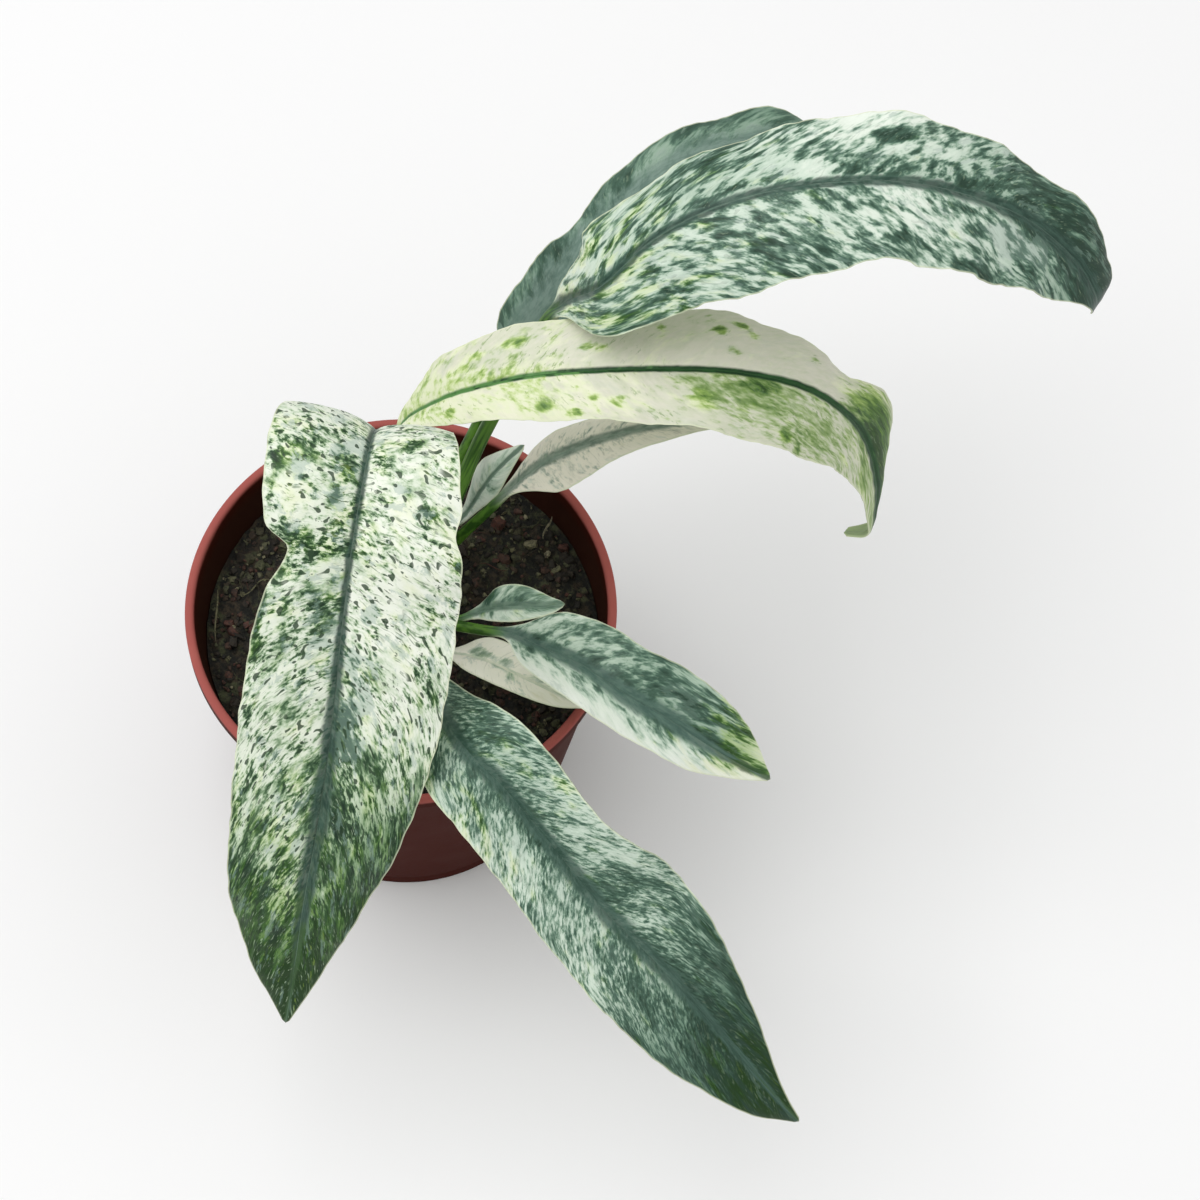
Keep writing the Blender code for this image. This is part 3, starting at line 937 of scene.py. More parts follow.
    def skin_map(
        self, stops: np.ndarray, length: float, across: np.ndarray, half_width: np.ndarray
    ) -> dict[str, np.ndarray]:
        """Work out the numbers that the leaf's skin reads from its mesh.

        Args:
            stops: how far each row is past the blade's foot.
            length: the blade's length.
            across: how far each place is from the rib.
            half_width: how wide its half of the blade is there.

        Returns:
            The numbers by name.
        """
        share = np.clip(stops / length, 0, 1)
        tones = np.array(self.tones, float)
        left_inner, left_margin, right_inner, right_margin, core, warm = (
            np.interp(share, tones[:, 0], column)[:, None] for column in tones[:, 1:].T
        )
        along = np.repeat(stops[:, None], across.shape[1], axis=1)
        strengths = [(mark, mark.strength(along, across)) for mark in self.marks]
        marked = {
            key: sum((getattr(mark, key) * much for mark, much in strengths), 0 * along)
            for key in ("green", "warm", "haze", "bold")
        }
        out = np.abs(across) / half_width
        lean = np.where(across < 0, *(self.lean(side, share)[:, None] for side in Side))
        starts = along - np.abs(across) * lean * (self.VEIN_START + self.VEIN_CURVE * out)
        inner = np.where(across < 0, left_inner, right_inner)
        margin = np.where(across < 0, left_margin, right_margin)
        tissue = inner + (margin - inner) * out**2
        pale = tissue * self.PALE_SHARE + self.finish.palest - self.PALE_SHIFT
        return {
            "across": across,
            "vein": np.where(across < 0, *(self.spaced(side, starts, length) for side in Side)),
            "run": np.abs(across) * np.sqrt(1 + lean**2),
            "half_width": half_width,
            "green": tissue + marked["green"],
            "palest": np.minimum(tissue - self.PALE_LIMIT, pale),
            "bold": 1 - self.fade * share[:, None] ** 2 + marked["bold"],
            "warm": warm + marked["warm"],
            "haze": marked["haze"],
            "core": np.repeat(core, across.shape[1], axis=1),
        }

    def build(self) -> bpy.types.Object:
        """Model the leaf, dress it and hand it to the frame.

        Returns:
            The leaf.
        """
        draw = np.random.default_rng(self.seed)
        table, far, foot = self.path()
        count = max(self.LEAST_ROWS, round(far[-1] / self.row_step))
        stops = np.linspace(0, far[-1], count)
        rows = np.column_stack([np.interp(stops, far, column) for column in table.T])
        halves = [self.half(side, rows, stops, draw) for side in Side]
        (top_l, low_l, reach_l, width_l), (top_r, low_r, reach_r, width_r) = halves
        section = self.ring(top_l, top_r, low_l, low_r)
        right, up = unit(rows[:, None, self.RIGHT]), unit(rows[:, None, self.UP])
        places = rows[:, None, self.PLACE] + section[:, :, :1] * right + section[:, :, 1:] * up
        for end in (0, -1):
            places[end] = places[end].mean(axis=0)
        across = self.ring(reach_l, reach_r, reach_l, reach_r)
        half_width = self.ring(width_l, width_r, width_l, width_r)
        numbers = self.skin_map(stops - foot, far[-1] - foot, across, half_width)
        ones = np.ones_like(reach_l)
        numbers["upper"] = self.ring(ones, ones, ones * 0, ones * 0)
        numbers["stalk"] = self.ring(*[ones * (1 - rows[:, self.BLADE, None])] * 4)
        piece = wrapped(f"{self.node}_blade", places, numbers)
        piece.data.materials.append(self.finish.dress(f"{self.node}_skin", self.seed * self.SEED_STEP))
        return settle(piece, self.slot, self.node)


def settle(piece: bpy.types.Object, slot: Slot, *nodes: str) -> bpy.types.Object:
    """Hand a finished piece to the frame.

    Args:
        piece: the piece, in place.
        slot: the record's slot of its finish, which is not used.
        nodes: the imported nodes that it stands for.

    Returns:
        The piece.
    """
    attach(piece, "root")
    if nodes:
        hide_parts(*nodes)
    LOG.info("%s: %d faces", piece.name, len(piece.data.polygons))
    return piece


@dataclass(frozen=True)
class StemFinish:
    """The skin of a shoot: green above, brown and dry at the soil."""

    fresh: RGB = shade(96, 140, 44)
    shaded: RGB = shade(52, 92, 28)
    dry: RGB = shade(112, 84, 52)
    roughness: float = 0.4

    # Noise as lumps by the metre and finer layers, then where masks leave 0 and reach 1.
    GRAIN = (380.0, 4.0)
    FRESH_FROM = (0.40, 0.62)
    DRY_ABOVE_SOIL = (13, 5)

    # How much the grain adds to the dry part's edge, the roughness and the relief.
    RAGGED = 12.0
    ROUGHER = 0.2
    RELIEF = 0.2

    def dress(self, foot: float) -> bpy.types.Material:
        """Make the material.

        Args:
            foot: the height at which the shoot leaves the soil.

        Returns:
            The material.
        """
        sheet = ShaderSheet("shoot_skin")
        place = sheet.place()
        height = sheet.make("ShaderNodeSeparateXYZ", {}, {0: place}, "Z") / MM
        grain = sheet.noise(place, *self.GRAIN)
        colour = sheet.blend(grain.step(*self.FRESH_FROM), self.shaded, self.fresh)
        start, end = (foot + rise for rise in self.DRY_ABOVE_SOIL)
        colour = sheet.blend((height + grain * self.RAGGED).step(start, end), colour, self.dry)
        return sheet.surface(
            Base_Color=colour,
            Roughness=grain * self.ROUGHER + self.roughness,
            Normal=sheet.bump(grain, self.RELIEF),
        )


@dataclass(frozen=True)
class Shoot:
    """A shoot: points up its middle with its radius at each, and the heights of its swollen joints."""

    node: str
    points: Rows
    joints: tuple[float, ...]
    finish: StemFinish = StemFinish()

    SIDES = 32
    STEP = 0.8
    SWELL = 0.12
    SWELL_LENGTH = 1.6
    CROWN = 1.2
    RIDGES = 5
    RIDGE_HEIGHT = 0.03
    RIDGE_TWIST = 0.2

    def build(self) -> bpy.types.Object:
        """Model the shoot and dress it.

        Returns:
            The shoot.
        """
        table = np.array(self.points, float)
        heights = np.arange(table[0, 2], table[-1, 2], self.STEP)
        x, y, radius = (np.interp(heights, table[:, 2], table[:, k]) for k in (0, 1, 3))
        for joint in self.joints:
            radius = radius * (1 + self.SWELL * np.exp(-(((heights - joint) / self.SWELL_LENGTH) ** 2)))
        top = np.clip((table[-1, 2] - heights) / (table[-1, 3] * self.CROWN), 0, 1)
        radius = radius * np.sqrt(1 - (1 - top) ** 2)
        turn = np.linspace(0, 2 * pi, self.SIDES + 1)[None, :]
        ridges = np.sin(self.RIDGES * turn + heights[:, None] * self.RIDGE_TWIST)
        away = radius[:, None] * (1 + self.RIDGE_HEIGHT * ridges)
        places = np.stack(
            [
                x[:, None] + away * np.cos(turn),
                y[:, None] + away * np.sin(turn),
                np.repeat(heights[:, None], self.SIDES + 1, axis=1),
            ],
            -1,
        )
        for end in (0, -1):
            places[end] = places[end].mean(axis=0)
        piece = wrapped(f"{self.node}_shoot", places)
        piece.data.materials.append(self.finish.dress(PottingSoil.TOP))
        return settle(piece, Slot.STEM, self.node)


@dataclass(frozen=True)
class PotFinish:
    """Terracotta-coloured plastic, paler and dusty at the rim, with painted shade on the body and inside."""

    rim: RGB = shade(166, 90, 84)
    # The body's colour is the terracotta plastic painted darker as shade.
    body: RGB = shade(66, 22, 13)
    pale: RGB = shade(186, 116, 104)
    # inside is painted shade down the inner wall, mottled by noise.
    inside: RGB = shade(54, 32, 25)
    roughness: float = 0.43
    gloss: float = 0.03

    # Noise as lumps by the metre and finer layers.
    CLOUDS = (45.0, 4.0)
    GRAIN = (900.0, 2.0)

    # Where masks leave 0 and reach 1, and how strongly they cover. Heights are counted from the top of the
    # rim, and WALL from the wall's inner face.
    RIM_FROM = (-1.6, 0.4)
    DUST_FROM = -4.0
    DUSTY = (0.5, 0.8)
    DUST_COVER = 0.3
    # These place the painted shade down the inner wall: its heights, its cover and its reach from the wall's
    # face.
    INNER_SHADE_FROM = (2.0, -7.0)
    INNER_SHADE_COVER = 0.9
    WALL = (1.1, 0.3)

    # How much noise adds to the edges of those masks, the roughness and the relief.
    RIM_RAGGED = 2.0
    INNER_SHADE_RAGGED = 4.0
    CLOUDS_ROUGHER = 0.18
    GRAIN_ROUGHER = 0.06
    CLOUDS_RELIEF = 0.5
    RELIEF = 0.03

    def dress(self, mouth: float, taper: float, top: float) -> bpy.types.Material:
        """Make the material.

        Args:
            mouth: the inner radius at the rim.
            taper: how much the inner radius grows in each millimetre of height.
            top: how high the rim is.

        Returns:
            The material.
        """
        sheet = ShaderSheet("pot_plastic")
        place = sheet.place()
        x, y, height = (sheet.make("ShaderNodeSeparateXYZ", {}, {0: place}, axis) / MM for axis in "XYZ")
        away = (x * x + y * y).root()
        cloud = sheet.noise(place, *self.CLOUDS)
        grain = sheet.noise(place, *self.GRAIN)
        # Below the top of the rim the colour turns to the body's, which is the plastic painted darker as
        # shade.
        rim = (height + cloud * self.RIM_RAGGED).step(*(top + rise for rise in self.RIM_FROM))
        colour = sheet.blend(rim, self.body, self.rim)
        dust = cloud.step(*self.DUSTY) * height.step(top + self.DUST_FROM, top)
        colour = sheet.blend(dust * self.DUST_COVER, colour, self.pale)
        # Down the inner wall, below the rim, the colour is painted shade, mottled by noise.
        foot = mouth - top * taper
        wall = (away - height * taper).step(*(foot + depth for depth in self.WALL))
        inner_shade = (height + cloud * self.INNER_SHADE_RAGGED).step(*(top + rise for rise in self.INNER_SHADE_FROM))
        colour = sheet.blend(wall * inner_shade * self.INNER_SHADE_COVER, colour, self.inside)
        return sheet.surface(
            Base_Color=colour,
            Roughness=cloud * self.CLOUDS_ROUGHER + grain * self.GRAIN_ROUGHER + self.roughness,
            Normal=sheet.bump(grain + cloud * self.CLOUDS_RELIEF, self.RELIEF),
            Specular_IOR_Level=self.gloss,
        )


@dataclass(frozen=True)
class NurseryPot:
    """The pot: a turned wall with a rolled rim, a step above its foot and drain holes."""

    height: float = 112.0
    wall: float = 1.5
    rim_radius: float = 70.0
    rim_depth: float = 6.0
    rim_round: float = 1.3
    mouth_radius: float = 67.0
    base_radius: float = 55.0
    foot_height: float = 8.0
    foot_step: float = 1.2
    step_rise: float = 1.0
    base_thickness: float = 1.8
    edge: float = 0.8
    drain_count: int = 8
    drain_radius: float = 4.5
    drain_circle: float = 38.0
    finish: PotFinish = PotFinish()

    SIDES = 192
    SHARP = 35.0
    ARC_POINTS = 7
    BODY_STEPS = (0, 0.3, 0.7)
    STEP_EASE = 0.4
    STEP_OUT = 0.3
    RIM_EASE = 0.6
    MOUTH_DRAFT = 0.4
    INNER_STEP_RISE = 8.0
    INNER_STEP_OUT = 0.6
    INNER_CORNER = 1.0
    CUTTER_SIDES = 32

    def arc(self, radius: float, height: float, size: float, start: float, end: float) -> Rows:
        """Round a corner of the profile.

        Args:
            radius, height: the rounding's middle.
            size: its radius.
            start, end: its angles in degrees.

        Returns:
            Points of the profile.
        """
        turns = np.radians(np.linspace(start, end, self.ARC_POINTS))
        return tuple((radius + size * cos(t), height + size * sin(t)) for t in turns)

    def profile(self) -> Rows:
        """Work out the pot's section.

        Returns:
            Its points as radius and height, up the outside and down the inside.
        """
        top, edge, lip = self.height, self.edge, self.rim_round
        rim_foot = top - self.rim_depth
        foot = self.base_radius + self.foot_step
        lean = (self.mouth_radius + self.wall - foot) / (top - self.foot_height)
        under_rim = foot + lean * (top - self.rim_depth - self.foot_height)
        inner_foot = self.base_radius - self.wall
        step_top = self.foot_height + self.step_rise
        body = (
            (foot + (under_rim - foot) * share, step_top + (rim_foot - step_top) * share)
            for share in self.BODY_STEPS
        )
        return (
            *self.arc(self.base_radius - edge, edge, edge, -90, 0),
            (self.base_radius, self.foot_height - self.STEP_EASE),
            (self.base_radius + self.STEP_OUT, self.foot_height),
            *body,
            (under_rim, rim_foot - self.RIM_EASE),
            (under_rim + self.RIM_EASE, rim_foot),
            *self.arc(self.rim_radius - edge, rim_foot + edge, edge, -90, 0),
            (self.rim_radius, top - self.rim_depth / 2),
            *self.arc(self.rim_radius - lip, top - lip, lip, 0, 90),
            *self.arc(self.mouth_radius + lip, top - lip, lip, 90, 180),
            (self.mouth_radius - self.MOUTH_DRAFT, rim_foot),
            (inner_foot + self.foot_step + self.INNER_STEP_OUT, step_top + self.INNER_STEP_RISE),
            (inner_foot, self.foot_height),
            (inner_foot, self.base_thickness + self.INNER_CORNER),
            (inner_foot - self.INNER_CORNER, self.base_thickness),
        )

    def inner_radius(self, height: float) -> float:
        """Work out the inner radius, on the line of the wall above the foot.

        Args:
            height: the height above the pot's underside.

        Returns:
            The radius.
        """
        low, high = self.foot_height + self.step_rise, self.height - self.rim_round
        foot = self.base_radius - self.wall + self.foot_step
        return foot + (self.mouth_radius - foot) * (height - low) / (high - low)

    def build(self) -> bpy.types.Object:
        """Model the pot, drill its drain holes and dress it.

        Returns:
            The pot.
        """
        profile = np.array([(0.0, 0.0), *self.profile(), (0.0, self.base_thickness)])
        pot = wrapped("nursery_pot", turned(profile, self.SIDES), sharp=self.SHARP)
        for k in range(self.drain_count):
            self.drill(pot, 2 * pi * (k + 0.5) / self.drain_count)
        taper = (self.mouth_radius - self.inner_radius(0)) / (self.height - self.rim_round)
        pot.data.materials.append(self.finish.dress(self.mouth_radius, taper, self.height))
        return settle(pot, Slot.POT, "pot")

    def drill(self, pot: bpy.types.Object, turn: float) -> None:
        """Cut one drain hole through the base.

        Args:
            pot: the pot.
            turn: the hole's angle about the pot's axis.
        """
        deselect()
        bpy.ops.mesh.primitive_cylinder_add(
            vertices=self.CUTTER_SIDES,
            radius=self.drain_radius * MM,
            depth=4 * self.base_thickness * MM,
            location=Vector((cos(turn), sin(turn), 0.0)) * self.drain_circle * MM,
        )
        drill = bpy.context.object
        choose(pot)
        modifier = pot.modifiers.new("drain", "BOOLEAN")
        modifier.object = drill
        modifier.solver = "EXACT"
        bpy.ops.object.modifier_apply(modifier=modifier.name)
        bpy.data.objects.remove(drill)


@dataclass(frozen=True)
class SoilFinish:
    """Dark moist potting mix."""

    dark: RGB = shade(20, 20, 14)
    brown: RGB = shade(60, 50, 36)
    moss: RGB = shade(72, 75, 50)
    grey: RGB = shade(104, 105, 82)
    bits: Stops = (
        (0.0, shade(26, 24, 18)),
        (0.30, shade(46, 38, 28)),
        (0.42, shade(84, 50, 40)),
        (0.52, shade(60, 48, 36)),
        (0.72, shade(72, 74, 50)),
        (0.90, shade(112, 108, 80)),
        (1.0, shade(150, 142, 118)),
    )
    roughness: float = 0.75
    bit_roughness: float = 0.62

    # Noise as lumps by the metre, finer layers and their strength.
    COARSE = (260.0, 6.0, 0.65)
    FINE = (1400.0, 3.0, 0.7)
    MOSSY = (120.0, 4.0, 0.6)
    BIT_GRAIN = (900.0, 4.0, 0.65)

    # Where masks leave 0 and reach 1, and how strongly they cover.
    MOSS_FROM = (0.48, 0.56)
    LUMPS_FROM = (0.44, 0.62)
    GREY_FROM = (0.64, 0.76)
    GREY_COVER = 0.5
    PITS_FROM = (0.55, 0.35)
    PITS_COVER = 0.7

    # How much noise adds to the bits' tints, the roughness and the relief.
    TINT_SPREAD = 0.12
    ROUGHER = 0.2
    BIT_ROUGHER = 0.3
    RELIEF = 0.9
    BIT_RELIEF = 0.5

    def dress(self) -> bpy.types.Material:
        """Make the soil's material.

        Returns:
            The material.
        """
        sheet = ShaderSheet("soil_mix")
        place = sheet.place()
        coarse = sheet.noise(place, *self.COARSE)
        fine = sheet.noise(place, *self.FINE)
        mossy = sheet.noise(place, *self.MOSSY)
        lump = sheet.blend(mossy.step(*self.MOSS_FROM), self.brown, self.moss)
        colour = sheet.blend(coarse.step(*self.LUMPS_FROM), self.dark, lump)
        colour = sheet.blend(fine.step(*self.GREY_FROM) * self.GREY_COVER, colour, self.grey)
        relief = sheet.bump(coarse + fine, self.RELIEF)
        roughness = fine * self.ROUGHER + self.roughness
        return sheet.surface(Base_Color=colour, Roughness=roughness, Normal=relief)

    def dress_bits(self) -> bpy.types.Material:
        """Make the material of what lies on the soil, which reads each bit's own tint.

        Returns:
            The material.
        """
        sheet = ShaderSheet("soil_bits")
        place = sheet.place()
        tint = sheet.attribute("tint")
        grain = sheet.noise(place, *self.BIT_GRAIN)
        own = sheet.ramp(self.bits, tint + (grain - 0.5) * self.TINT_SPREAD)
        colour = sheet.blend(grain.step(*self.PITS_FROM) * self.PITS_COVER, own, self.dark)
        roughness = grain * self.BIT_ROUGHER + self.bit_roughness
        relief = sheet.bump(grain, self.BIT_RELIEF)
        return sheet.surface(Base_Color=colour, Roughness=roughness, Normal=relief)


@dataclass(frozen=True)
class Chip:
    """A bigger chip at a place of its own. Its tint is a place on the ramp of the bits' colours."""

    x: float
    y: float
    size: float
    tint: float


@dataclass(frozen=True)
class Twig:
    """A straight twig from one place to another."""

    start: Place
    end: Place
    thick: float
    tint: float


@dataclass(frozen=True)
class PottingSoil:
    """The soil's lumpy top, with bark chips, crumbs and fibres lying on it."""

    pot: NurseryPot
    seed: int = 11
    crown: float = 1.5
    lump: float = 1.3
    gap: float = 0.3
    chips: int = 1300
    crumbs: int = 1500
    fibres: int = 120
    big_chips: tuple[Chip, ...] = (
        Chip(38.5, 35.5, 5.0, 0.92),
        Chip(49.5, 36.4, 4.0, 0.42),
        Chip(-57.0, -6.0, 3.6, 0.42),
    )
    twigs: tuple[Twig, ...] = (
        Twig((44.5, 46.5, 96.5), (41.5, 38.0, 96.0), 0.9, 0.98),
        Twig((-62.6, 5.0, 96.0), (-60.5, -14.0, 96.5), 0.7, 0.9),
    )
    finish: SoilFinish = SoilFinish()

    TOP = 93.0
    RINGS = 90
    SIDES = 240
    FINE_LUMPS = (6.0, 3.6, 2.2, 1.5)
    FINE_WAVES = 3
    FINE_STEEPNESS = 0.045
    SHARP = 45.0

    # The shapes that are copied, each about one millimetre long.
    FLATNESSES = (0.3, 0.4, 0.55, 0.7, 0.85, 1.0)
    LEAST_WIDTH = 0.45
    WIDTH_BY_FLATNESS = 0.4
    CRUMPLED = 0.11
    BENDS = (-0.3, -0.12, 0.05, 0.2, 0.35)
    FIBRE_RADII = (0.3, 0.9, 1.0, 0.8, 0.2)
    FIBRE_THICK = 0.025

    # Chips and crumbs. A chip's size is drawn by the mean and spread of its logarithm and its tint from a
    # beta curve, and a crumb's lie evenly between two ends. Space and rises are shares of the size, and a
    # tilt is a spread in radians.
    CHIP_SIZES = (0.75, 0.4)
    LARGEST_CHIP = 5.5
    CHIP_TINTS = (1.8, 2.0)
    CRUMB_SIZES = (0.6, 1.7)
    CRUMB_TINTS = (0, 0.95)
    BIT_SPACE = 0.7
    WALL_GAP = 0.6
    BIT_TILT = 0.6
    BIT_RISES = (-0.05, 0.25)
    BIG_CHIP_SHAPE = 3
    BIG_CHIP_RISE = 0.2

    # Fibres. Lengths and rises are millimetres, and space and heights are shares of the length.
    FIBRE_LENGTHS = (4, 13)
    FIBRE_SPACE = 0.6
    FIBRE_TILT = 0.08
    FIBRE_RISES = (0.2, 0.9)
    FIBRE_HEIGHTS = (0.7, 1.5)
    FIBRE_TINTS = (0.2, 0.9)
    TWIG_SHAPE = 2

    def height(self, x: Any, y: Any) -> Any:
        """Work out how high the soil lies, as in the packed soil.

        Args:
            x, y: numbers or arrays of places.

        Returns:
            The height at each place.
        """
        away = (x * x + y * y) / self.pot.inner_radius(self.TOP) ** 2
        lumps = np.sin(0.31 * x + 1.3 * np.sin(0.17 * y)) * np.cos(0.27 * y + 0.8 * np.sin(0.21 * x))
        crumbs = 0.5 * np.sin(0.53 * x - 0.41 * y) * np.sin(0.47 * y + 0.22 * x + 1.0)
        return self.TOP + self.crown * (1 - away) + self.lump * (lumps + crumbs) * (1 - away**4)

    def rough(self, x: np.ndarray, y: np.ndarray) -> np.ndarray:
        """Work out finer lumps, a few tenths of a millimetre high.

        Args:
            x, y: arrays of places.

        Returns:
            Their height at each place.
        """
        draw = np.random.default_rng(self.seed)
        total = np.zeros_like(x)
        for size in self.FINE_LUMPS:
            for _ in range(self.FINE_WAVES):
                turn, shift = draw.uniform(0, 2 * pi, 2)
                waves = np.sin(2 * pi * (x * cos(turn) + y * sin(turn)) / size + shift)
                total += size * self.FINE_STEEPNESS * waves
        return total

    def build(self) -> list[bpy.types.Object]:
        """Model the soil and what lies on it.

        Returns:
            The soil, its chips and crumbs, and its fibres.
        """
        foot = self.pot.base_radius - self.pot.wall - self.gap
        bottom = self.pot.base_thickness + self.gap
        radius = self.pot.inner_radius(self.TOP) - self.gap
        turn = np.linspace(0, 2 * pi, self.SIDES + 1)[None, :]
        ring_radii = radius * np.linspace(1, 0, self.RINGS)[:, None]
        x, y = ring_radii * np.cos(turn), ring_radii * np.sin(turn)
        top = np.stack([x, y, self.height(x, y) + self.rough(x, y)], -1)
        top[-1] = top[-1].mean(axis=0)
        low = np.array([(0.0, bottom), (foot, bottom), (foot, self.pot.foot_height)])
        plain = turned(low, self.SIDES)
        soil = wrapped("soil_mass", np.concatenate([plain, top]))
        soil.data.materials.append(self.finish.dress())
        settle(soil, Slot.SOIL, "soil")
        draw = np.random.default_rng(self.seed)
        bits = self.scatter(draw)
        threads = self.lay_fibres(draw)
        return [soil, bits, threads]

    def spot(self, draw: np.random.Generator, margin: float) -> tuple[float, float]:
        """Draw a place on the soil.

        Args:
            draw: the soil's random numbers.
            margin: how far it stays from the pot's wall.

        Returns:
            The place's x and y.
        """
        away = (self.pot.inner_radius(self.TOP) - margin) * np.sqrt(draw.uniform())
        turn = draw.uniform(0, 2 * pi)
        return away * cos(turn), away * sin(turn)

    def chip_shapes(self) -> list[bpy.types.Object]:
        """Model a few bark chips and crumbs, each about one millimetre long.

        Returns:
            The shapes to copy.
        """
        shapes = []
        for seed, flat in enumerate(self.FLATNESSES):
            deselect()
            bpy.ops.mesh.primitive_cube_add(size=MM)
            bpy.ops.object.mode_set(mode="EDIT")
            bpy.ops.mesh.select_all(action="SELECT")
            bpy.ops.mesh.subdivide(number_cuts=1)
            width = self.LEAST_WIDTH + self.WIDTH_BY_FLATNESS * flat
            bpy.ops.transform.resize(value=(1.0, width, flat))
            bpy.ops.mesh.vertices_smooth(factor=0.5, repeat=2)
            bpy.ops.transform.vertex_random(offset=self.CRUMPLED * MM, uniform=1.0, seed=seed)
            bpy.ops.object.mode_set(mode="OBJECT")
            shapes.append(bpy.context.object)
        return shapes

    def scatter(self, draw: np.random.Generator) -> bpy.types.Object:
        """Strew copies of the chips over the soil, sunk a little into it.

        Args:
            draw: the soil's random numbers.

        Returns:
            All of them as one piece.
        """
        shapes = self.chip_shapes()
        copies = []
        for k in range(self.chips + self.crumbs):
            big = k < self.chips
            if big:
                size = min(draw.lognormal(*self.CHIP_SIZES), self.LARGEST_CHIP)
            else:
                size = draw.uniform(*self.CRUMB_SIZES)
            x, y = self.spot(draw, self.BIT_SPACE * size + self.WALL_GAP)
            turn = Matrix.Rotation(draw.uniform(0, 2 * pi), 4, "Z")
            turn = turn @ Matrix.Rotation(draw.normal(0, self.BIT_TILT), 4, "X")
            place = Vector((x, y, self.height(x, y) + size * draw.uniform(*self.BIT_RISES))) * MM
            tint = draw.beta(*self.CHIP_TINTS) if big else draw.uniform(*self.CRUMB_TINTS)
            shape = shapes[draw.integers(len(shapes))]
            copies.append(self.copied(shape, Matrix.Translation(place) @ turn @ Matrix.Scale(size, 4), tint))
        for chip in self.big_chips:
            height = self.height(chip.x, chip.y) + chip.size * self.BIG_CHIP_RISE
            place = Vector((chip.x, chip.y, height)) * MM
            where = Matrix.Translation(place) @ Matrix.Scale(chip.size, 4)
            copies.append(self.copied(shapes[self.BIG_CHIP_SHAPE], where, chip.tint))
        return self.joined("soil_bits", copies, shapes)

    def fibre_shapes(self) -> list[bpy.types.Object]:
        """Bend a few fibres, each about one millimetre long.

        Returns:
            The shapes to copy.
        """
        shapes = []
        for bend in self.BENDS:
            deselect()
            bpy.ops.curve.primitive_nurbs_path_add()
            curve = bpy.context.object.data
            places = (
                (-0.5, 0, 0),
                (-0.25, bend, 0.03),
                (0, bend * 0.4, 0.05),
                (0.25, -bend * 0.5, 0.04),
                (0.5, bend, 0),
            )
            for point, place, radius in zip(curve.splines[0].points, places, self.FIBRE_RADII):
                point.co = (*(Vector(place) * MM), 1.0)
                point.radius = radius
            curve.bevel_depth = self.FIBRE_THICK * MM
            curve.bevel_resolution = 0
            curve.splines[0].resolution_u = 3
            curve.use_fill_caps = True
            bpy.ops.object.convert(target="MESH")
            shapes.append(bpy.context.object)
        return shapes

    def lay_fibres(self, draw: np.random.Generator) -> bpy.types.Object:
        """Lay copies of the fibres over the soil.

        Args:
            draw: the soil's random numbers.

        Returns:
            All of them as one piece.
        """
        shapes = self.fibre_shapes()
        copies = []
        for _ in range(self.fibres):
            length = draw.uniform(*self.FIBRE_LENGTHS)
            x, y = self.spot(draw, self.FIBRE_SPACE * length)
            turn = Matrix.Rotation(draw.uniform(0, 2 * pi), 4, "Z")
            turn = turn @ Matrix.Rotation(draw.normal(0, self.FIBRE_TILT), 4, "Y")
            place = Vector((x, y, self.height(x, y) + draw.uniform(*self.FIBRE_RISES))) * MM
            size = Matrix.Diagonal((length, length, length * draw.uniform(*self.FIBRE_HEIGHTS), 1))
            shape = shapes[draw.integers(len(shapes))]
            where = Matrix.Translation(place) @ turn @ size
            copies.append(self.copied(shape, where, draw.uniform(*self.FIBRE_TINTS)))
        for twig in self.twigs:
            start, end = Vector(twig.start) * MM, Vector(twig.end) * MM
            turn = (end - start).to_track_quat("X", "Z").to_matrix().to_4x4()
            thick = twig.thick / (2 * self.FIBRE_THICK)
            size = Matrix.Diagonal(((end - start).length / MM, thick, thick, 1))
            where = Matrix.Translation((start + end) / 2) @ turn @ size
            copies.append(self.copied(shapes[self.TWIG_SHAPE], where, twig.tint))
        return self.joined("soil_fibres", copies, shapes)

    def copied(self, shape: bpy.types.Object, place: Matrix, tint: float) -> bpy.types.Object:
        """Copy a shape with a mesh of its own, which holds the copy's tint.

        Args:
            shape: the shape.
            place: where the copy goes, how it is turned and how large it is.
            tint: its tint.

        Returns:
            The copy.
        """
        copy = shape.copy()
        copy.data = shape.data.copy()
        bpy.context.scene.collection.objects.link(copy)
        copy.matrix_world = place
        numbers = copy.data.attributes.new("tint", "FLOAT", "POINT")
        numbers.data.foreach_set("value", np.full(len(copy.data.vertices), tint, np.float32))
        return copy

    def joined(
        self, name: str, copies: Sequence[bpy.types.Object], shapes: Sequence[bpy.types.Object]
    ) -> bpy.types.Object:
        """Join copies into one dressed piece.

        Args:
            name: its name.
            copies: the copies.
            shapes: what they are copies of, which is then no longer needed.

        Returns:
            The piece.
        """
        for shape in shapes:
            bpy.data.objects.remove(shape)
        deselect()
        for copy in copies:
            copy.select_set(True)
        piece = copies[0]
        bpy.context.view_layer.objects.active = piece
        bpy.ops.object.join()
        piece.name = name
        piece.data.name = name
        choose(piece)
        bpy.ops.object.transform_apply(location=True, rotation=True, scale=True)
        bpy.ops.object.shade_smooth_by_angle(angle=radians(self.SHARP))
        piece.data.materials.append(self.finish.dress_bits())
        return settle(piece, Slot.SOIL)


@dataclass(frozen=True)
class Softbox:
    """A square soft light: its name, where it hangs, how wide it is and its power in watts."""

    name: str
    place: Place
    size: float
    power: float


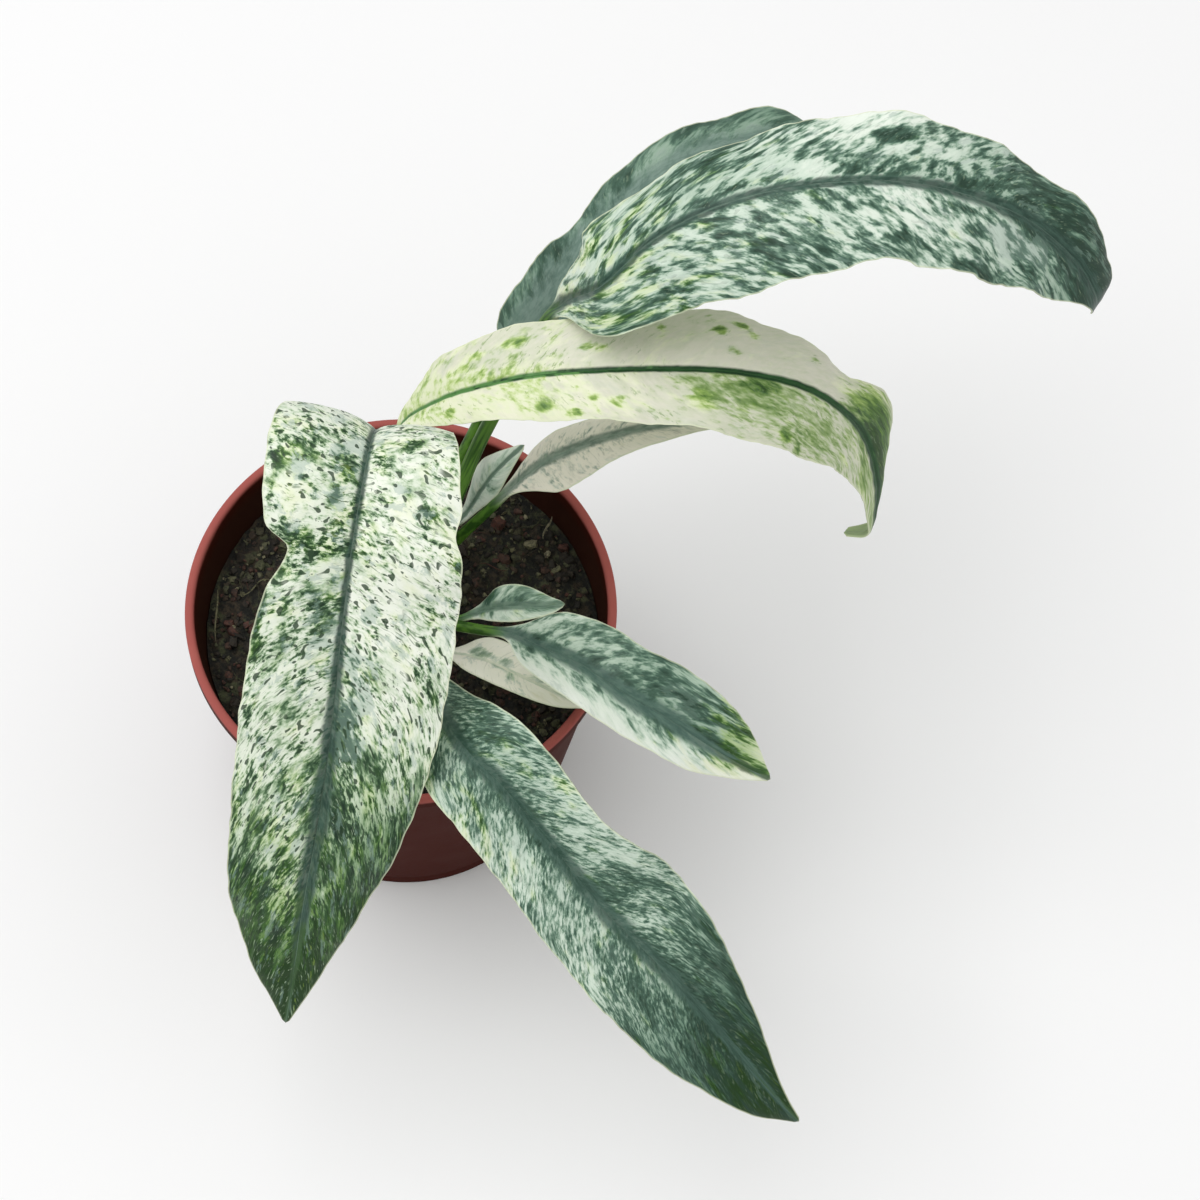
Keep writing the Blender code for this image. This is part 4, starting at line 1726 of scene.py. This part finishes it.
@dataclass(frozen=True)
class Studio:
    """A pale floor, soft light from above and the photograph's camera."""

    eye: Place = (63.8, -349.1, 808.7)
    pitch: float = 62.8
    roll: float = 6.4
    lens: float = 72.0
    film: float = 36.0
    floor_tone: RGB = shade(246, 246, 246)
    floor_roughness: float = 0.9
    floor_reach: float = 6000.0
    floor_gap: float = 0.2
    world_light: float = 0.62
    lit_point: Place = (40.0, 0.0, 120.0)
    lights: tuple[Softbox, ...] = (
        Softbox("key_light", (-900.0, -150.0, 2500.0), 2200.0, 39.0),
        Softbox("fill_light", (900.0, -300.0, 1300.0), 900.0, 1.0),
    )

    CLIP_END = 20.0

    def build(self) -> None:
        """Make the floor, the lights and the camera."""
        self.lay_floor()
        for light in self.lights:
            self.hang_light(light)
        world = bpy.data.worlds.new("soft_room")
        world.use_nodes = True
        background = world.node_tree.nodes["Background"]
        background.inputs["Color"].default_value = (1.0, 1.0, 1.0, 1.0)
        background.inputs["Strength"].default_value = self.world_light
        bpy.context.scene.world = world
        bpy.context.scene.view_settings.view_transform = "Standard"
        self.place_camera()

    def lay_floor(self) -> None:
        """Lay the plain floor just under the pot."""
        deselect()
        bpy.ops.mesh.primitive_plane_add(size=self.floor_reach * MM, location=(0, 0, -self.floor_gap * MM))
        floor = bpy.context.object
        floor.name = "floor"
        sheet = ShaderSheet("floor_paper")
        paper = sheet.surface(Base_Color=self.floor_tone, Roughness=self.floor_roughness)
        floor.data.materials.append(paper)

    def hang_light(self, light: Softbox) -> None:
        """Hang a soft light that looks at the plant.

        Args:
            light: the light.
        """
        lamp = bpy.data.lights.new(light.name, "AREA")
        lamp.size = light.size * MM
        lamp.energy = light.power
        thing = bpy.data.objects.new(light.name, lamp)
        bpy.context.scene.collection.objects.link(thing)
        thing.location = Vector(light.place) * MM
        towards = Vector(self.lit_point) * MM - thing.location
        thing.rotation_euler = towards.to_track_quat("-Z", "Y").to_euler()

    def place_camera(self) -> None:
        """Set the camera where the photograph was taken from."""
        camera = bpy.data.cameras.new("camera")
        camera.lens = self.lens
        camera.sensor_width = self.film
        camera.clip_end = self.CLIP_END
        thing = bpy.data.objects.new("camera", camera)
        bpy.context.scene.collection.objects.link(thing)
        tilt = Matrix.Rotation(radians(90 - self.pitch), 4, "X")
        roll = Matrix.Rotation(radians(self.roll), 4, "Z")
        thing.matrix_world = Matrix.Translation(Vector(self.eye) * MM) @ tilt @ roll
        bpy.context.scene.camera = thing


SHOOTS = (
    Shoot(
        "stem_main",
        ((0, 9, 62, 5.5), (0, 9, 92, 5.5), (0.5, 9.5, 108, 5.0), (0, 9, 124, 4.2)),
        (96, 103, 110, 117),
    ),
    Shoot("stem_back", ((8, 22, 66, 3.0), (8, 22, 94, 3.0), (8.5, 22.5, 105, 2.6)), (96, 101)),
    Shoot("stem_right", ((8, -3, 66, 3.0), (8, -3, 94, 3.0), (8.5, -3.5, 105, 2.6)), (96, 101)),
)

MINT = (
    (0.0, shade(240, 246, 236)),
    (0.26, shade(226, 236, 222)),
    (0.38, shade(200, 217, 200)),
    (0.48, shade(158, 182, 162)),
    (0.56, shade(108, 138, 118)),
    (0.66, shade(68, 98, 82)),
    (0.90, shade(38, 64, 50)),
)
PALE = LeafFinish(
    cool=(
        (0.0, shade(222, 220, 204)),
        (0.36, shade(208, 212, 188)),
        (0.48, shade(176, 192, 146)),
        (0.60, shade(132, 158, 96)),
        (0.78, shade(80, 114, 54)),
        (0.95, shade(46, 74, 34)),
    ),
    warm=(
        (0.0, shade(232, 232, 208)),
        (0.32, shade(226, 232, 196)),
        (0.45, shade(194, 212, 146)),
        (0.56, shade(146, 176, 92)),
        (0.76, shade(86, 122, 50)),
        (0.95, shade(54, 84, 32)),
    ),
    core=shade(36, 80, 38),
    core_shade=shade(24, 60, 28),
    core_line=shade(76, 126, 62),
    warm_core=shade(86, 134, 72),
    thread=shade(196, 204, 160),
    fleck=shade(96, 132, 56),
    dash=shade(104, 140, 62),
    warm_dash=shade(122, 156, 66),
    streak=1.9,
    stretch=1.3,
    detail=3.0,
    crumbly=0.55,
    fine=1.1,
    middle=0.6,
    broad=0.5,
    even=0.6,
    palest=0.2,
    hazy=0.1,
    threaded=0.1,
    sparked=0.2,
    flecked=0.0,
    dashed=0.55,
    lined=0.15,
    feathered=0.25,
    covered=1.0,
)
DARK = LeafFinish(
    cool=MINT,
    streak=2.2,
    stretch=1.8,
    detail=3.0,
    crumbly=0.58,
    fine=1.5,
    middle=1.5,
    palest=0.4,
    even=0.7,
    threaded=0.2,
    sparked=0.3,
    flecked=0.2,
    dashed=0.2,
    lined=0.25,
)
LOW = LeafFinish(
    cool=MINT,
    core=shade(70, 98, 86),
    core_shade=shade(52, 80, 68),
    streak=0.75,
    stretch=3.0,
    detail=3.0,
    crumbly=0.62,
    fine=1.35,
    middle=0.65,
    palest=0.45,
    even=0.7,
    hazy=0.3,
    threaded=0.2,
    sparked=0.15,
    flecked=0.2,
    dashed=0.2,
    lined=0.15,
)
SLATE = LeafFinish(
    cool=MINT,
    core=shade(84, 112, 100),
    core_shade=shade(70, 98, 88),
    streak=2.0,
    stretch=1.6,
    detail=4.0,
    crumbly=0.6,
    fine=0.9,
    middle=1.2,
    palest=0.42,
    even=0.8,
    hazy=0.4,
    threaded=0.1,
    sparked=0.2,
    flecked=0.0,
    dashed=0.0,
    lined=0.15,
)
SMOKY = LeafFinish(
    cool=MINT,
    core=shade(118, 140, 130),
    core_shade=shade(98, 122, 112),
    streak=2.6,
    detail=3.0,
    fine=0.6,
    middle=0.8,
    palest=0.5,
    even=0.8,
    hazy=0.5,
    threaded=0.2,
    sparked=0.2,
    flecked=0.0,
    dashed=0.2,
)
GREY_BEIGE = LeafFinish(
    cool=(
        (0.0, shade(248, 242, 228)),
        (0.40, shade(238, 234, 218)),
        (0.60, shade(166, 176, 162)),
        (0.85, shade(94, 114, 102)),
    ),
    warm=((0.0, shade(244, 238, 220)), (0.5, shade(170, 178, 130)), (0.85, shade(84, 106, 62))),
    core=shade(130, 148, 134),
    core_shade=shade(96, 118, 104),
    detail=3.0,
    fine=1.2,
    hazy=0.3,
    threaded=0.2,
    flecked=0.1,
    dashed=0.2,
)
SMALL = LeafFinish(
    cool=MINT,
    core=shade(112, 138, 120),
    core_shade=shade(88, 114, 98),
    streak=2.0,
    detail=3.0,
    fine=0.7,
    middle=0.9,
    even=0.7,
    lined=0.1,
    hazy=0.4,
    threaded=0.2,
    sparked=0.3,
    flecked=0.0,
    dashed=0.1,
)
PINKISH = LeafFinish(
    cool=(
        (0.0, shade(255, 252, 238)),
        (0.38, shade(250, 248, 232)),
        (0.55, shade(180, 200, 172)),
        (0.80, shade(86, 112, 78)),
    ),
    warm=((0.0, shade(255, 248, 230)), (0.5, shade(180, 194, 136)), (0.80, shade(80, 112, 52))),
    core=shade(230, 232, 212),
    core_shade=shade(200, 212, 190),
    streak=2.4,
    detail=3.0,
    fine=0.7,
    middle=1.0,
    lined=0.0,
    hazy=0.5,
    threaded=0.2,
    flecked=0.0,
    dashed=0.1,
)

LEAVES = (
    Leaf(
        "leaf_front",
        Slot.CREAM,
        3,
        ((0, 9, 118, 3.4), (-1, 10, 142, 2.7), (-3, 9, 165, 2.4)),
        (
            (-3, 6, 186, 4, 4, 10, 10),
            (-3, 2, 206, 13, 13, 15, 15),
            (-4, -3, 224, 20, 22.5, 22, 24),
            (-4, -11, 234.5, 23, 27.2, 28, 23),
            (-4, -24, 238.5, 27, 27.8, 28, 23),
            (-5, -42, 230.5, 30.8, 25.2, 22, 24),
            (-6, -56, 217, 32, 24.6, 16, 25),
            (-7, -80, 191, 30.5, 26.2, 20, 19),
            (-9, -100, 167, 25.2, 25.7, 20, 14),
            (-12, -116, 144, 17.4, 22.8, 16, 13),
            (-14, -129, 123, 9.3, 14.2, 10, 10),
            (-16, -141, 104, 0.6, 0.6, 8, 8),
        ),
        (
            (0.0, 0.36, 0.34, 0.41, 0.39, 1.1, 0.5),
            (0.25, 0.34, 0.31, 0.41, 0.39, 1.1, 0.5),
            (0.33, 0.31, 0.27, 0.42, 0.37, 1.1, 0.5),
            (0.37, 0.29, 0.25, 0.43, 0.37, 1.1, 0.5),
            (0.45, 0.29, 0.24, 0.42, 0.38, 1.2, 0.4),
            (0.55, 0.37, 0.34, 0.41, 0.40, 1.8, 0.35),
            (0.60, 0.49, 0.46, 0.43, 0.43, 2.2, 0.4),
            (0.68, 0.62, 0.70, 0.49, 0.50, 2.6, 0.45),
            (0.78, 0.64, 0.82, 0.55, 0.66, 2.2, 0.65),
            (0.88, 0.75, 0.95, 0.69, 0.88, 1.2, 1.0),
            (0.95, 0.96, 1.02, 0.94, 1.02, 0.6, 1.2),
            (1.0, 1.05, 1.05, 1.05, 1.05, 0.4, 1.2),
        ),
        (
            Mark(74.5, -3, 1.2, 5, green=0.4),
            Mark(78.5, -3, 1.2, 4, green=0.4),
            Mark(88, 10, 3.4, 8, green=0.2, warm=0.2, bold=0.9),
            Mark(90, 3, 2, 3, green=0.2, bold=0.6),
            Mark(68, 22, 2.5, 4, green=0.12, warm=0.6),
            Mark(76, 6, 3, 2.5, green=0.12, haze=0.2),
            Mark(72.5, 16, 1.2, 1.7, green=0.4),
            Mark(105, 7.5, 1.5, 2.6, green=0.4),
            Mark(61, -13, 1.5, 2.6, green=0.4),
            Mark(58, -15, 2, 2, green=0.3),
            Mark(77, -19, 1.6, 3, green=0.2, haze=0.2),
            Mark(107, -7.5, 3, 3, green=0.1, haze=0.2),
            Mark(112, 5, 16, 6, green=0.06, haze=0.1),
            Mark(128, -6, 14, 6, green=0.06, haze=0.1),
            Mark(66, 5, 10, 6, green=0.05, haze=0.09),
            Mark(147, -4, 5, 6, green=0.15, haze=0.25),
            Mark(138, -4, 6, 3, green=0.2, haze=0.2),
            Mark(74, 24.4, 8, 1.2, green=0.22, warm=0.2),
            Mark(110, 23.3, 16, 1.2, green=0.45, warm=0.3),
            Mark(68, -30.5, 5, 1.3, green=0.35),
            Mark(91, -30.5, 4, 2, green=0.4),
        ),
        droop=34.0,
        fade=0.5,
        leans=(
            (0.0, 0.1, -0.3),
            (0.25, 0.1, -0.2),
            (0.35, 0.25, 0.0),
            (0.45, 0.42, 0.3),
            (0.55, 0.72, 0.6),
            (0.65, 1.15, 0.95),
            (0.75, 1.6, 1.3),
            (0.85, 2.1, 1.6),
            (1.0, 2.8, 2.3),
        ),
        nicks=(Nick(Side.RIGHT, 5.25, 7.4, 0.2, 0.6), Nick(Side.LEFT, 4.75, 1.8, 0.2, 0.15)),
    ),
    Leaf(
        "leaf_upper_right",
        Slot.GREEN,
        7,
        ((0, 8, 108, 3.0), (9, 17, 124, 2.7), (17, 31, 147, 2.4), (23, 40, 163, 2.3), (37, 53, 199, 2.3)),
        (
            (44, 53, 216, 5, 5, 30, 15),
            (54, 47, 235, 15, 16, 30, -12),
            (67, 54, 250, 18, 23, 13, -20),
            (85, 60, 262, 20.5, 26.5, 6, -19),
            (106, 65, 268, 22.5, 25.6, 6, -18),
            (129, 70, 268, 23.6, 23, 13, -12),
            (149, 74, 262, 21.5, 23.5, 22, -12),
            (172, 77, 250, 17.4, 21.5, 26, -18),
            (190, 76, 235, 15, 15, 38, -22),
            (200.5, 73, 221, 10.2, 5.2, 42, -25),
            (202, 74, 211, 4.5, 1, 35, -20),
        ),
        (
            (0.0, 0.48, 0.46, 0.54, 0.48, 1.8, 0.6),
            (0.10, 0.50, 0.46, 0.54, 0.50, 1.6, 0.6),
            (0.20, 0.58, 0.52, 0.54, 0.50, 1.3, 0.5),
            (0.33, 0.62, 0.54, 0.50, 0.52, 1.2, 0.3),
            (0.45, 0.50, 0.32, 0.50, 0.50, 1.2, 0.1),
            (0.55, 0.54, 0.22, 0.40, 0.42, 1.4, 0.1),
            (0.65, 0.56, 0.40, 0.43, 0.46, 1.8, 0.1),
            (0.75, 0.72, 0.66, 0.56, 0.55, 2.2, 0.1),
            (0.85, 0.84, 0.80, 0.72, 0.66, 2.6, 0.1),
            (1.0, 0.95, 0.95, 0.95, 0.95, 2.6, 0.1),
        ),
        (
            Mark(117, -15, 6, 3, green=0.45),
            Mark(157, 9, 9.0, 4.0, green=-0.2, haze=0.5, bold=-0.9),
            Mark(170, 7, 4.0, 4.0, green=-0.14, haze=0.45, bold=-0.8),
            Mark(92, -5, 8, 4, green=-0.25),
        ),
        finish=DARK,
        leans=(
            (0.0, 1.6, 1.9),
            (0.15, 1.6, 1.6),
            (0.35, 1.4, 1.2),
            (0.5, 1.0, 0.85),
            (0.65, 0.8, 0.95),
            (0.75, 0.8, 1.25),
            (0.87, 1.6, 1.9),
            (1.0, 2.3, 2.5),
        ),
        wave=1.0,
    ),
    Leaf(
        "leaf_behind",
        Slot.GREEN,
        12,
        ((1, 10, 101, 2.8), (6, 20, 115, 2.6), (13, 38, 135, 2.3), (19, 49, 148, 2.2)),
        (
            (26, 57, 166, 4, 3, 20, 0),
            (33, 60, 182, 14, 5, 22, 0),
            (46, 67, 205, 16, 12, 15, -5),
            (53, 76, 216, 14.5, 16, 2, -5),
            (63, 87, 221, 16, 16, 6, -5),
            (75, 99, 223, 17, 16, 10, -5),
            (91, 110, 221, 16, 15, 18, 0),
            (108, 121, 214, 14, 11, 28, 0),
            (133, 130, 202, 0.6, 0.6, 20, 5),
        ),
        (
            (0.0, 0.66, 0.68, 0.66, 0.70, 8.0, 0.0),
            (0.5, 0.58, 0.66, 0.58, 0.70, 8.0, 0.0),
            (1.0, 0.66, 0.72, 0.66, 0.72, 5.0, 0.0),
        ),
        finish=SMOKY,
    ),
    Leaf(
        "leaf_pale",
        Slot.CREAM,
        21,
        ((0, 9, 104, 2.8), (-4, 21, 126, 2.5), (-5, 29, 150, 2.3)),
        (
            (-3, 31, 172, 3.5, 4, 30, 20),
            (9, 29, 192, 11, 9, 35, 5),
            (21, 29, 202, 15, 11.5, 32, -3),
            (36, 31, 208, 16.5, 14, 28, -10),
            (56, 33, 212, 18, 15.5, 23, -10),
            (80, 36, 213, 20, 17.5, 21, -12),
            (97, 39, 210, 19.8, 19.6, 20, -16),
            (116, 42, 202, 16.8, 20.5, 20, -24),
            (130, 43, 190, 12.2, 18.5, 28, -30),
            (140, 43, 174, 15.8, 14, 45, -32),
            (146, 38, 158, 5.4, 8.6, 45, -32),
            (147.5, 34, 147, 1.8, 5, 40, -25),
            (147, 31, 138, 4, 2.5, 15, -10),
            (139.5, 31.5, 134, 2, 1.2, 10, -5),
        ),
        (
            (0.0, 0.44, 0.38, 0.40, 0.32, 0.7, 1.2),
            (0.15, 0.36, 0.34, 0.28, 0.22, 0.8, 1.1),
            (0.30, 0.30, 0.29, 0.24, 0.18, 0.9, 0.8),
            (0.40, 0.22, 0.22, 0.24, 0.20, 0.9, 0.4),
            (0.45, 0.17, 0.17, 0.38, 0.26, 0.9, 0.4),
            (0.50, 0.16, 0.16, 0.50, 0.30, 0.9, 0.3),
            (0.58, 0.16, 0.16, 0.53, 0.34, 1.0, 0.2),
            (0.68, 0.18, 0.17, 0.55, 0.40, 1.1, 0.3),
            (0.72, 0.62, 0.34, 0.52, 0.38, 1.2, 0.3),
            (0.78, 0.98, 0.44, 0.47, 0.34, 1.5, 0.3),
            (0.88, 1.12, 0.52, 0.42, 0.34, 1.8, 0.3),
            (0.95, 0.94, 0.58, 0.44, 0.38, 1.3, 0.4),
            (1.0, 0.62, 0.55, 0.50, 0.48, 0.8, 0.8),
        ),
        (
            Mark(113, -12.8, 2.2, 1.6, green=0.5, warm=0.3),
            Mark(120, -15.4, 2.8, 1.3, green=0.46, warm=0.4),
            Mark(123.6, -12.7, 2.2, 1.2, green=0.42, warm=0.4),
            Mark(116.6, -6.4, 2.4, 1.4, green=0.5, warm=0.2),
            Mark(144, -10, 1.6, 1.4, green=0.35),
            Mark(95, -13, 1.6, 1.2, green=0.3, warm=0.6),
            Mark(50, -10, 32, 8.0, warm=-0.6),
            Mark(51.6, -10.5, 4.0, 1.6, green=0.24, warm=0.6),
            Mark(35.5, -6.3, 2.0, 1.5, green=0.18, warm=0.6),
            Mark(40, -9.2, 3.2, 1.4, green=0.16, warm=0.6),
            Mark(72.6, -7.2, 2.6, 1.2, green=0.3, warm=0.3),
            Mark(78, -6.5, 2.2, 1.3, green=0.3, warm=0.3),
            Mark(30, 6.4, 2.2, 1.6, green=0.4, warm=0.3),
            Mark(59.6, 10.2, 2.6, 1.8, green=0.5, warm=0.3),
            Mark(74.6, 8.4, 1.8, 1.5, green=0.36, warm=0.3),
            Mark(69.6, 12.9, 2.4, 1.2, green=0.36, warm=0.3),
            Mark(81.6, 10, 2.6, 2.0, green=0.36, warm=0.3),
            Mark(107, 9, 5.0, 3.5, green=0.22, warm=0.5),
            Mark(124.6, 3.5, 7.0, 2.5, green=0.2, warm=0.4),
            Mark(137, 16.6, 3.0, 3.0, green=0.25, warm=0.6),
            Mark(145, 18.6, 2.5, 2.0, green=0.3, warm=0.6),
            Mark(168, -9, 12, 6.0, warm=0.4),
        ),
        finish=PALE,
        leans=(
            (0.0, 0.5, 0.4),
            (0.45, 0.8, 0.8),
            (0.55, 1.1, 1.3),
            (0.65, 1.5, 1.8),
            (0.8, 2.2, 2.6),
            (1.0, 3.0, 3.0),
        ),
        wave=0.6,
    ),
    Leaf(
        "leaf_low_right",
        Slot.GREEN,
        31,
        ((0, 8, 101, 2.8), (3, -8, 117, 2.6), (9, -28, 140, 2.4), (14, -44, 160, 2.3)),
        (
            (18, -55, 172, 4, 4, 15, 15),
            (24, -70, 179, 12, 12, 15, 10),
            (33, -80, 179, 17, 16.5, 20, 18),
            (42, -86, 175, 18, 17.6, 32, 15),
            (60, -99, 161, 18.5, 18.4, 38, 12),
            (75, -110, 148, 23, 19.4, 15, 12),
            (93, -120, 134, 20.5, 21.3, 12, 12),
            (114, -132, 114, 12.5, 18.8, 10, 10),
            (132, -144, 98, 4, 9.5, 8, 8),
            (142, -149, 88, 0.6, 0.6, 0, 0),
        ),
        (
            (0.0, 0.56, 0.54, 0.60, 0.56, 2.0, 0.3),
            (0.15, 0.60, 0.56, 0.60, 0.52, 2.2, 0.2),
            (0.28, 0.56, 0.50, 0.56, 0.42, 2.4, 0.2),
            (0.42, 0.54, 0.49, 0.54, 0.42, 2.5, 0.2),
            (0.55, 0.54, 0.55, 0.54, 0.48, 2.4, 0.2),
            (0.65, 0.66, 0.70, 0.62, 0.56, 2.0, 0.2),
            (0.8, 0.90, 0.92, 0.84, 0.78, 1.2, 0.4),
            (1.0, 1.0, 1.0, 1.0, 1.0, 0.5, 1.0),
        ),
        (
            Mark(40, 15, 30, 7, green=-0.04, warm=0.4),
            Mark(20, -10, 14, 6, green=0.08),
            Mark(28, 8, 10, 7, green=0.06),
            Mark(84, -2, 5, 4, green=0.2),
            Mark(80, 5, 6, 3, green=-0.1, haze=0.1),
        ),
        finish=LOW,
        leans=(
            (0.0, 0.7, 0.7),
            (0.35, 0.7, 0.9),
            (0.55, 1.2, 0.9),
            (0.65, 1.9, 1.35),
            (0.8, 2.8, 1.8),
            (1.0, 3.2, 2.8),
        ),
    ),
    Leaf(
        "leaf_back_grey",
        Slot.GREY,
        43,
        ((8, 22, 100, 2.0), (15, 25, 113, 1.9), (25, 28, 130, 1.7)),
        (
            (32, 31, 141, 3, 3, 15, 15),
            (42, 36, 151, 8, 11.5, 10, 0),
            (56, 39, 161, 9.5, 9.8, 5, 0),
            (72, 42, 168, 9, 6.4, 5, 5),
            (90, 46, 169, 5, 3.2, 5, 5),
            (102, 48, 166, 0.6, 0.6, 5, 5),
        ),
        (
            (0.0, 0.42, 0.30, 0.42, 0.30, 1.6, 0.1),
            (0.4, 0.46, 0.24, 0.46, 0.24, 1.5, 0.0),
            (0.7, 0.52, 0.30, 0.46, 0.24, 1.2, 0.0),
            (1.0, 0.65, 0.50, 0.60, 0.50, 0.8, 0.0),
        ),
        finish=GREY_BEIGE,
        half_columns=14,
    ),
    Leaf(
        "leaf_back_small",
        Slot.GREY,
        51,
        ((8, 22.5, 97.5, 1.6), (10, 30, 105, 1.5)),
        (
            (17, 35, 114, 2.5, 2.5, 15, 15),
            (23, 39, 128, 7, 6, 10, 10),
            (28, 42, 136, 5, 4, 10, 10),
            (34, 47, 141, 0.6, 0.6, 10, 10),
        ),
        ((0.0, 0.34, 0.14, 0.34, 0.14, 0.8, 0.2), (1.0, 0.38, 0.20, 0.38, 0.20, 0.7, 0.2)),
        finish=SMALL,
        wave=0.3,
        half_columns=14,
    ),
    Leaf(
        "leaf_oval",
        Slot.GREEN,
        63,
        ((8, -3, 98.5, 1.5), (17, -3.5, 109, 1.3)),
        (
            (25, -3, 117, 2.5, 2.5, 10, 10),
            (31, -4, 124, 7, 5, 15, 12),
            (39, -5, 129, 7, 5.5, 12, 12),
            (47, -5, 131, 4, 3.5, 12, 12),
            (53, -3, 130, 0.6, 0.6, 5, 5),
        ),
        (
            (0.0, 0.54, 0.42, 0.50, 0.36, 1.2, 0.3),
            (0.5, 0.56, 0.44, 0.50, 0.36, 1.3, 0.3),
            (1.0, 0.58, 0.46, 0.54, 0.40, 0.8, 0.4),
        ),
        finish=SMALL,
        wave=0.3,
        half_columns=14,
    ),
    Leaf(
        "leaf_right",
        Slot.GREEN,
        77,
        ((8, -3, 101, 2.0), (14, -9, 118, 1.9), (29, -19, 137, 1.7)),
        (
            (38, -22, 143, 3, 3, 15, 15),
            (47, -28, 149, 12, 8.5, 12, 12),
            (60, -34, 152, 15, 11.2, 12, 8),
            (73, -41, 151, 15.2, 11.4, 12, 8),
            (86, -45, 146, 16.5, 11.5, 12, 6),
            (99, -49, 139, 15.2, 10, 12, 5),
            (112, -51, 129, 11.5, 5, 8, 0),
            (123, -51, 120, 0.6, 0.6, 0, 0),
        ),
        (
            (0.0, 0.54, 0.44, 0.52, 0.22, 1.8, 0.2),
            (0.15, 0.54, 0.42, 0.52, 0.06, 1.8, 0.1),
            (0.28, 0.57, 0.46, 0.57, 0.02, 2.2, 0.1),
            (0.42, 0.63, 0.56, 0.60, 0.00, 2.6, 0.1),
            (0.6, 0.66, 0.62, 0.60, 0.00, 2.6, 0.15),
            (0.7, 0.68, 0.58, 0.50, -0.02, 2.0, 0.5),
            (0.85, 0.66, 0.50, 0.36, -0.02, 1.2, 1.0),
            (1.0, 0.46, 0.42, 0.20, 0.16, 0.8, 1.0),
        ),
        (
            Mark(24, -7, 7, 3.5, green=-0.14),
            Mark(36, -8, 6, 3.0, green=-0.1),
            Mark(60, -7, 9, 4.5, green=0.1, haze=0.1),
            Mark(90, -6, 11, 4.5, green=-0.1, warm=0.9),
        ),
        finish=SLATE,
        leans=(
            (0.0, 0.6, 1.2),
            (0.35, 0.6, 1.4),
            (0.5, 1.1, 1.0),
            (0.65, 1.9, 1.4),
            (0.8, 2.6, 2.0),
            (1.0, 3.0, 2.5),
        ),
        wave=0.6,
        half_columns=18,
    ),
    Leaf(
        "leaf_shaded",
        Slot.GREY,
        88,
        ((8, -4, 97.5, 1.6), (14, -13, 105, 1.4)),
        (
            (19, -15.5, 111, 2.5, 2.5, 10, 10),
            (26, -18, 115, 8, 6, 12, 12),
            (35, -22, 118, 8.5, 6.6, 12, 12),
            (52, -29, 119, 8, 5.2, 10, 10),
            (63, -32.5, 118, 0.6, 0.6, 5, 5),
        ),
        (
            (0.0, 0.12, 0.08, 0.12, 0.08, 0.5, 0.3),
            (0.3, 0.14, 0.04, 0.12, 0.04, 0.5, 0.2),
            (0.6, 0.22, 0.08, 0.18, 0.08, 0.5, 0.2),
            (1.0, 0.50, 0.40, 0.50, 0.40, 0.6, 0.2),
        ),
        (
            Mark(10, -2, 4, 3, green=0.38, haze=0.14),
            Mark(18, -1.5, 5, 3, green=0.4, haze=0.14),
            Mark(24, 2, 5, 2.4, green=0.3, haze=0.08),
            Mark(30, -2, 6, 2.4, green=0.26, haze=0.08),
        ),
        finish=PINKISH,
        wave=0.4,
        half_columns=14,
    ),
)


def main() -> None:
    """Build the studio, the pot, the soil, the shoots and the leaves."""
    logging.basicConfig(level=logging.INFO, format="%(name)s %(message)s")
    Studio().build()
    pot = NurseryPot()
    pot.build()
    PottingSoil(pot).build()
    for shoot in SHOOTS:
        shoot.build()
    for leaf in LEAVES:
        leaf.build()


if __name__ == "__main__":
    main()
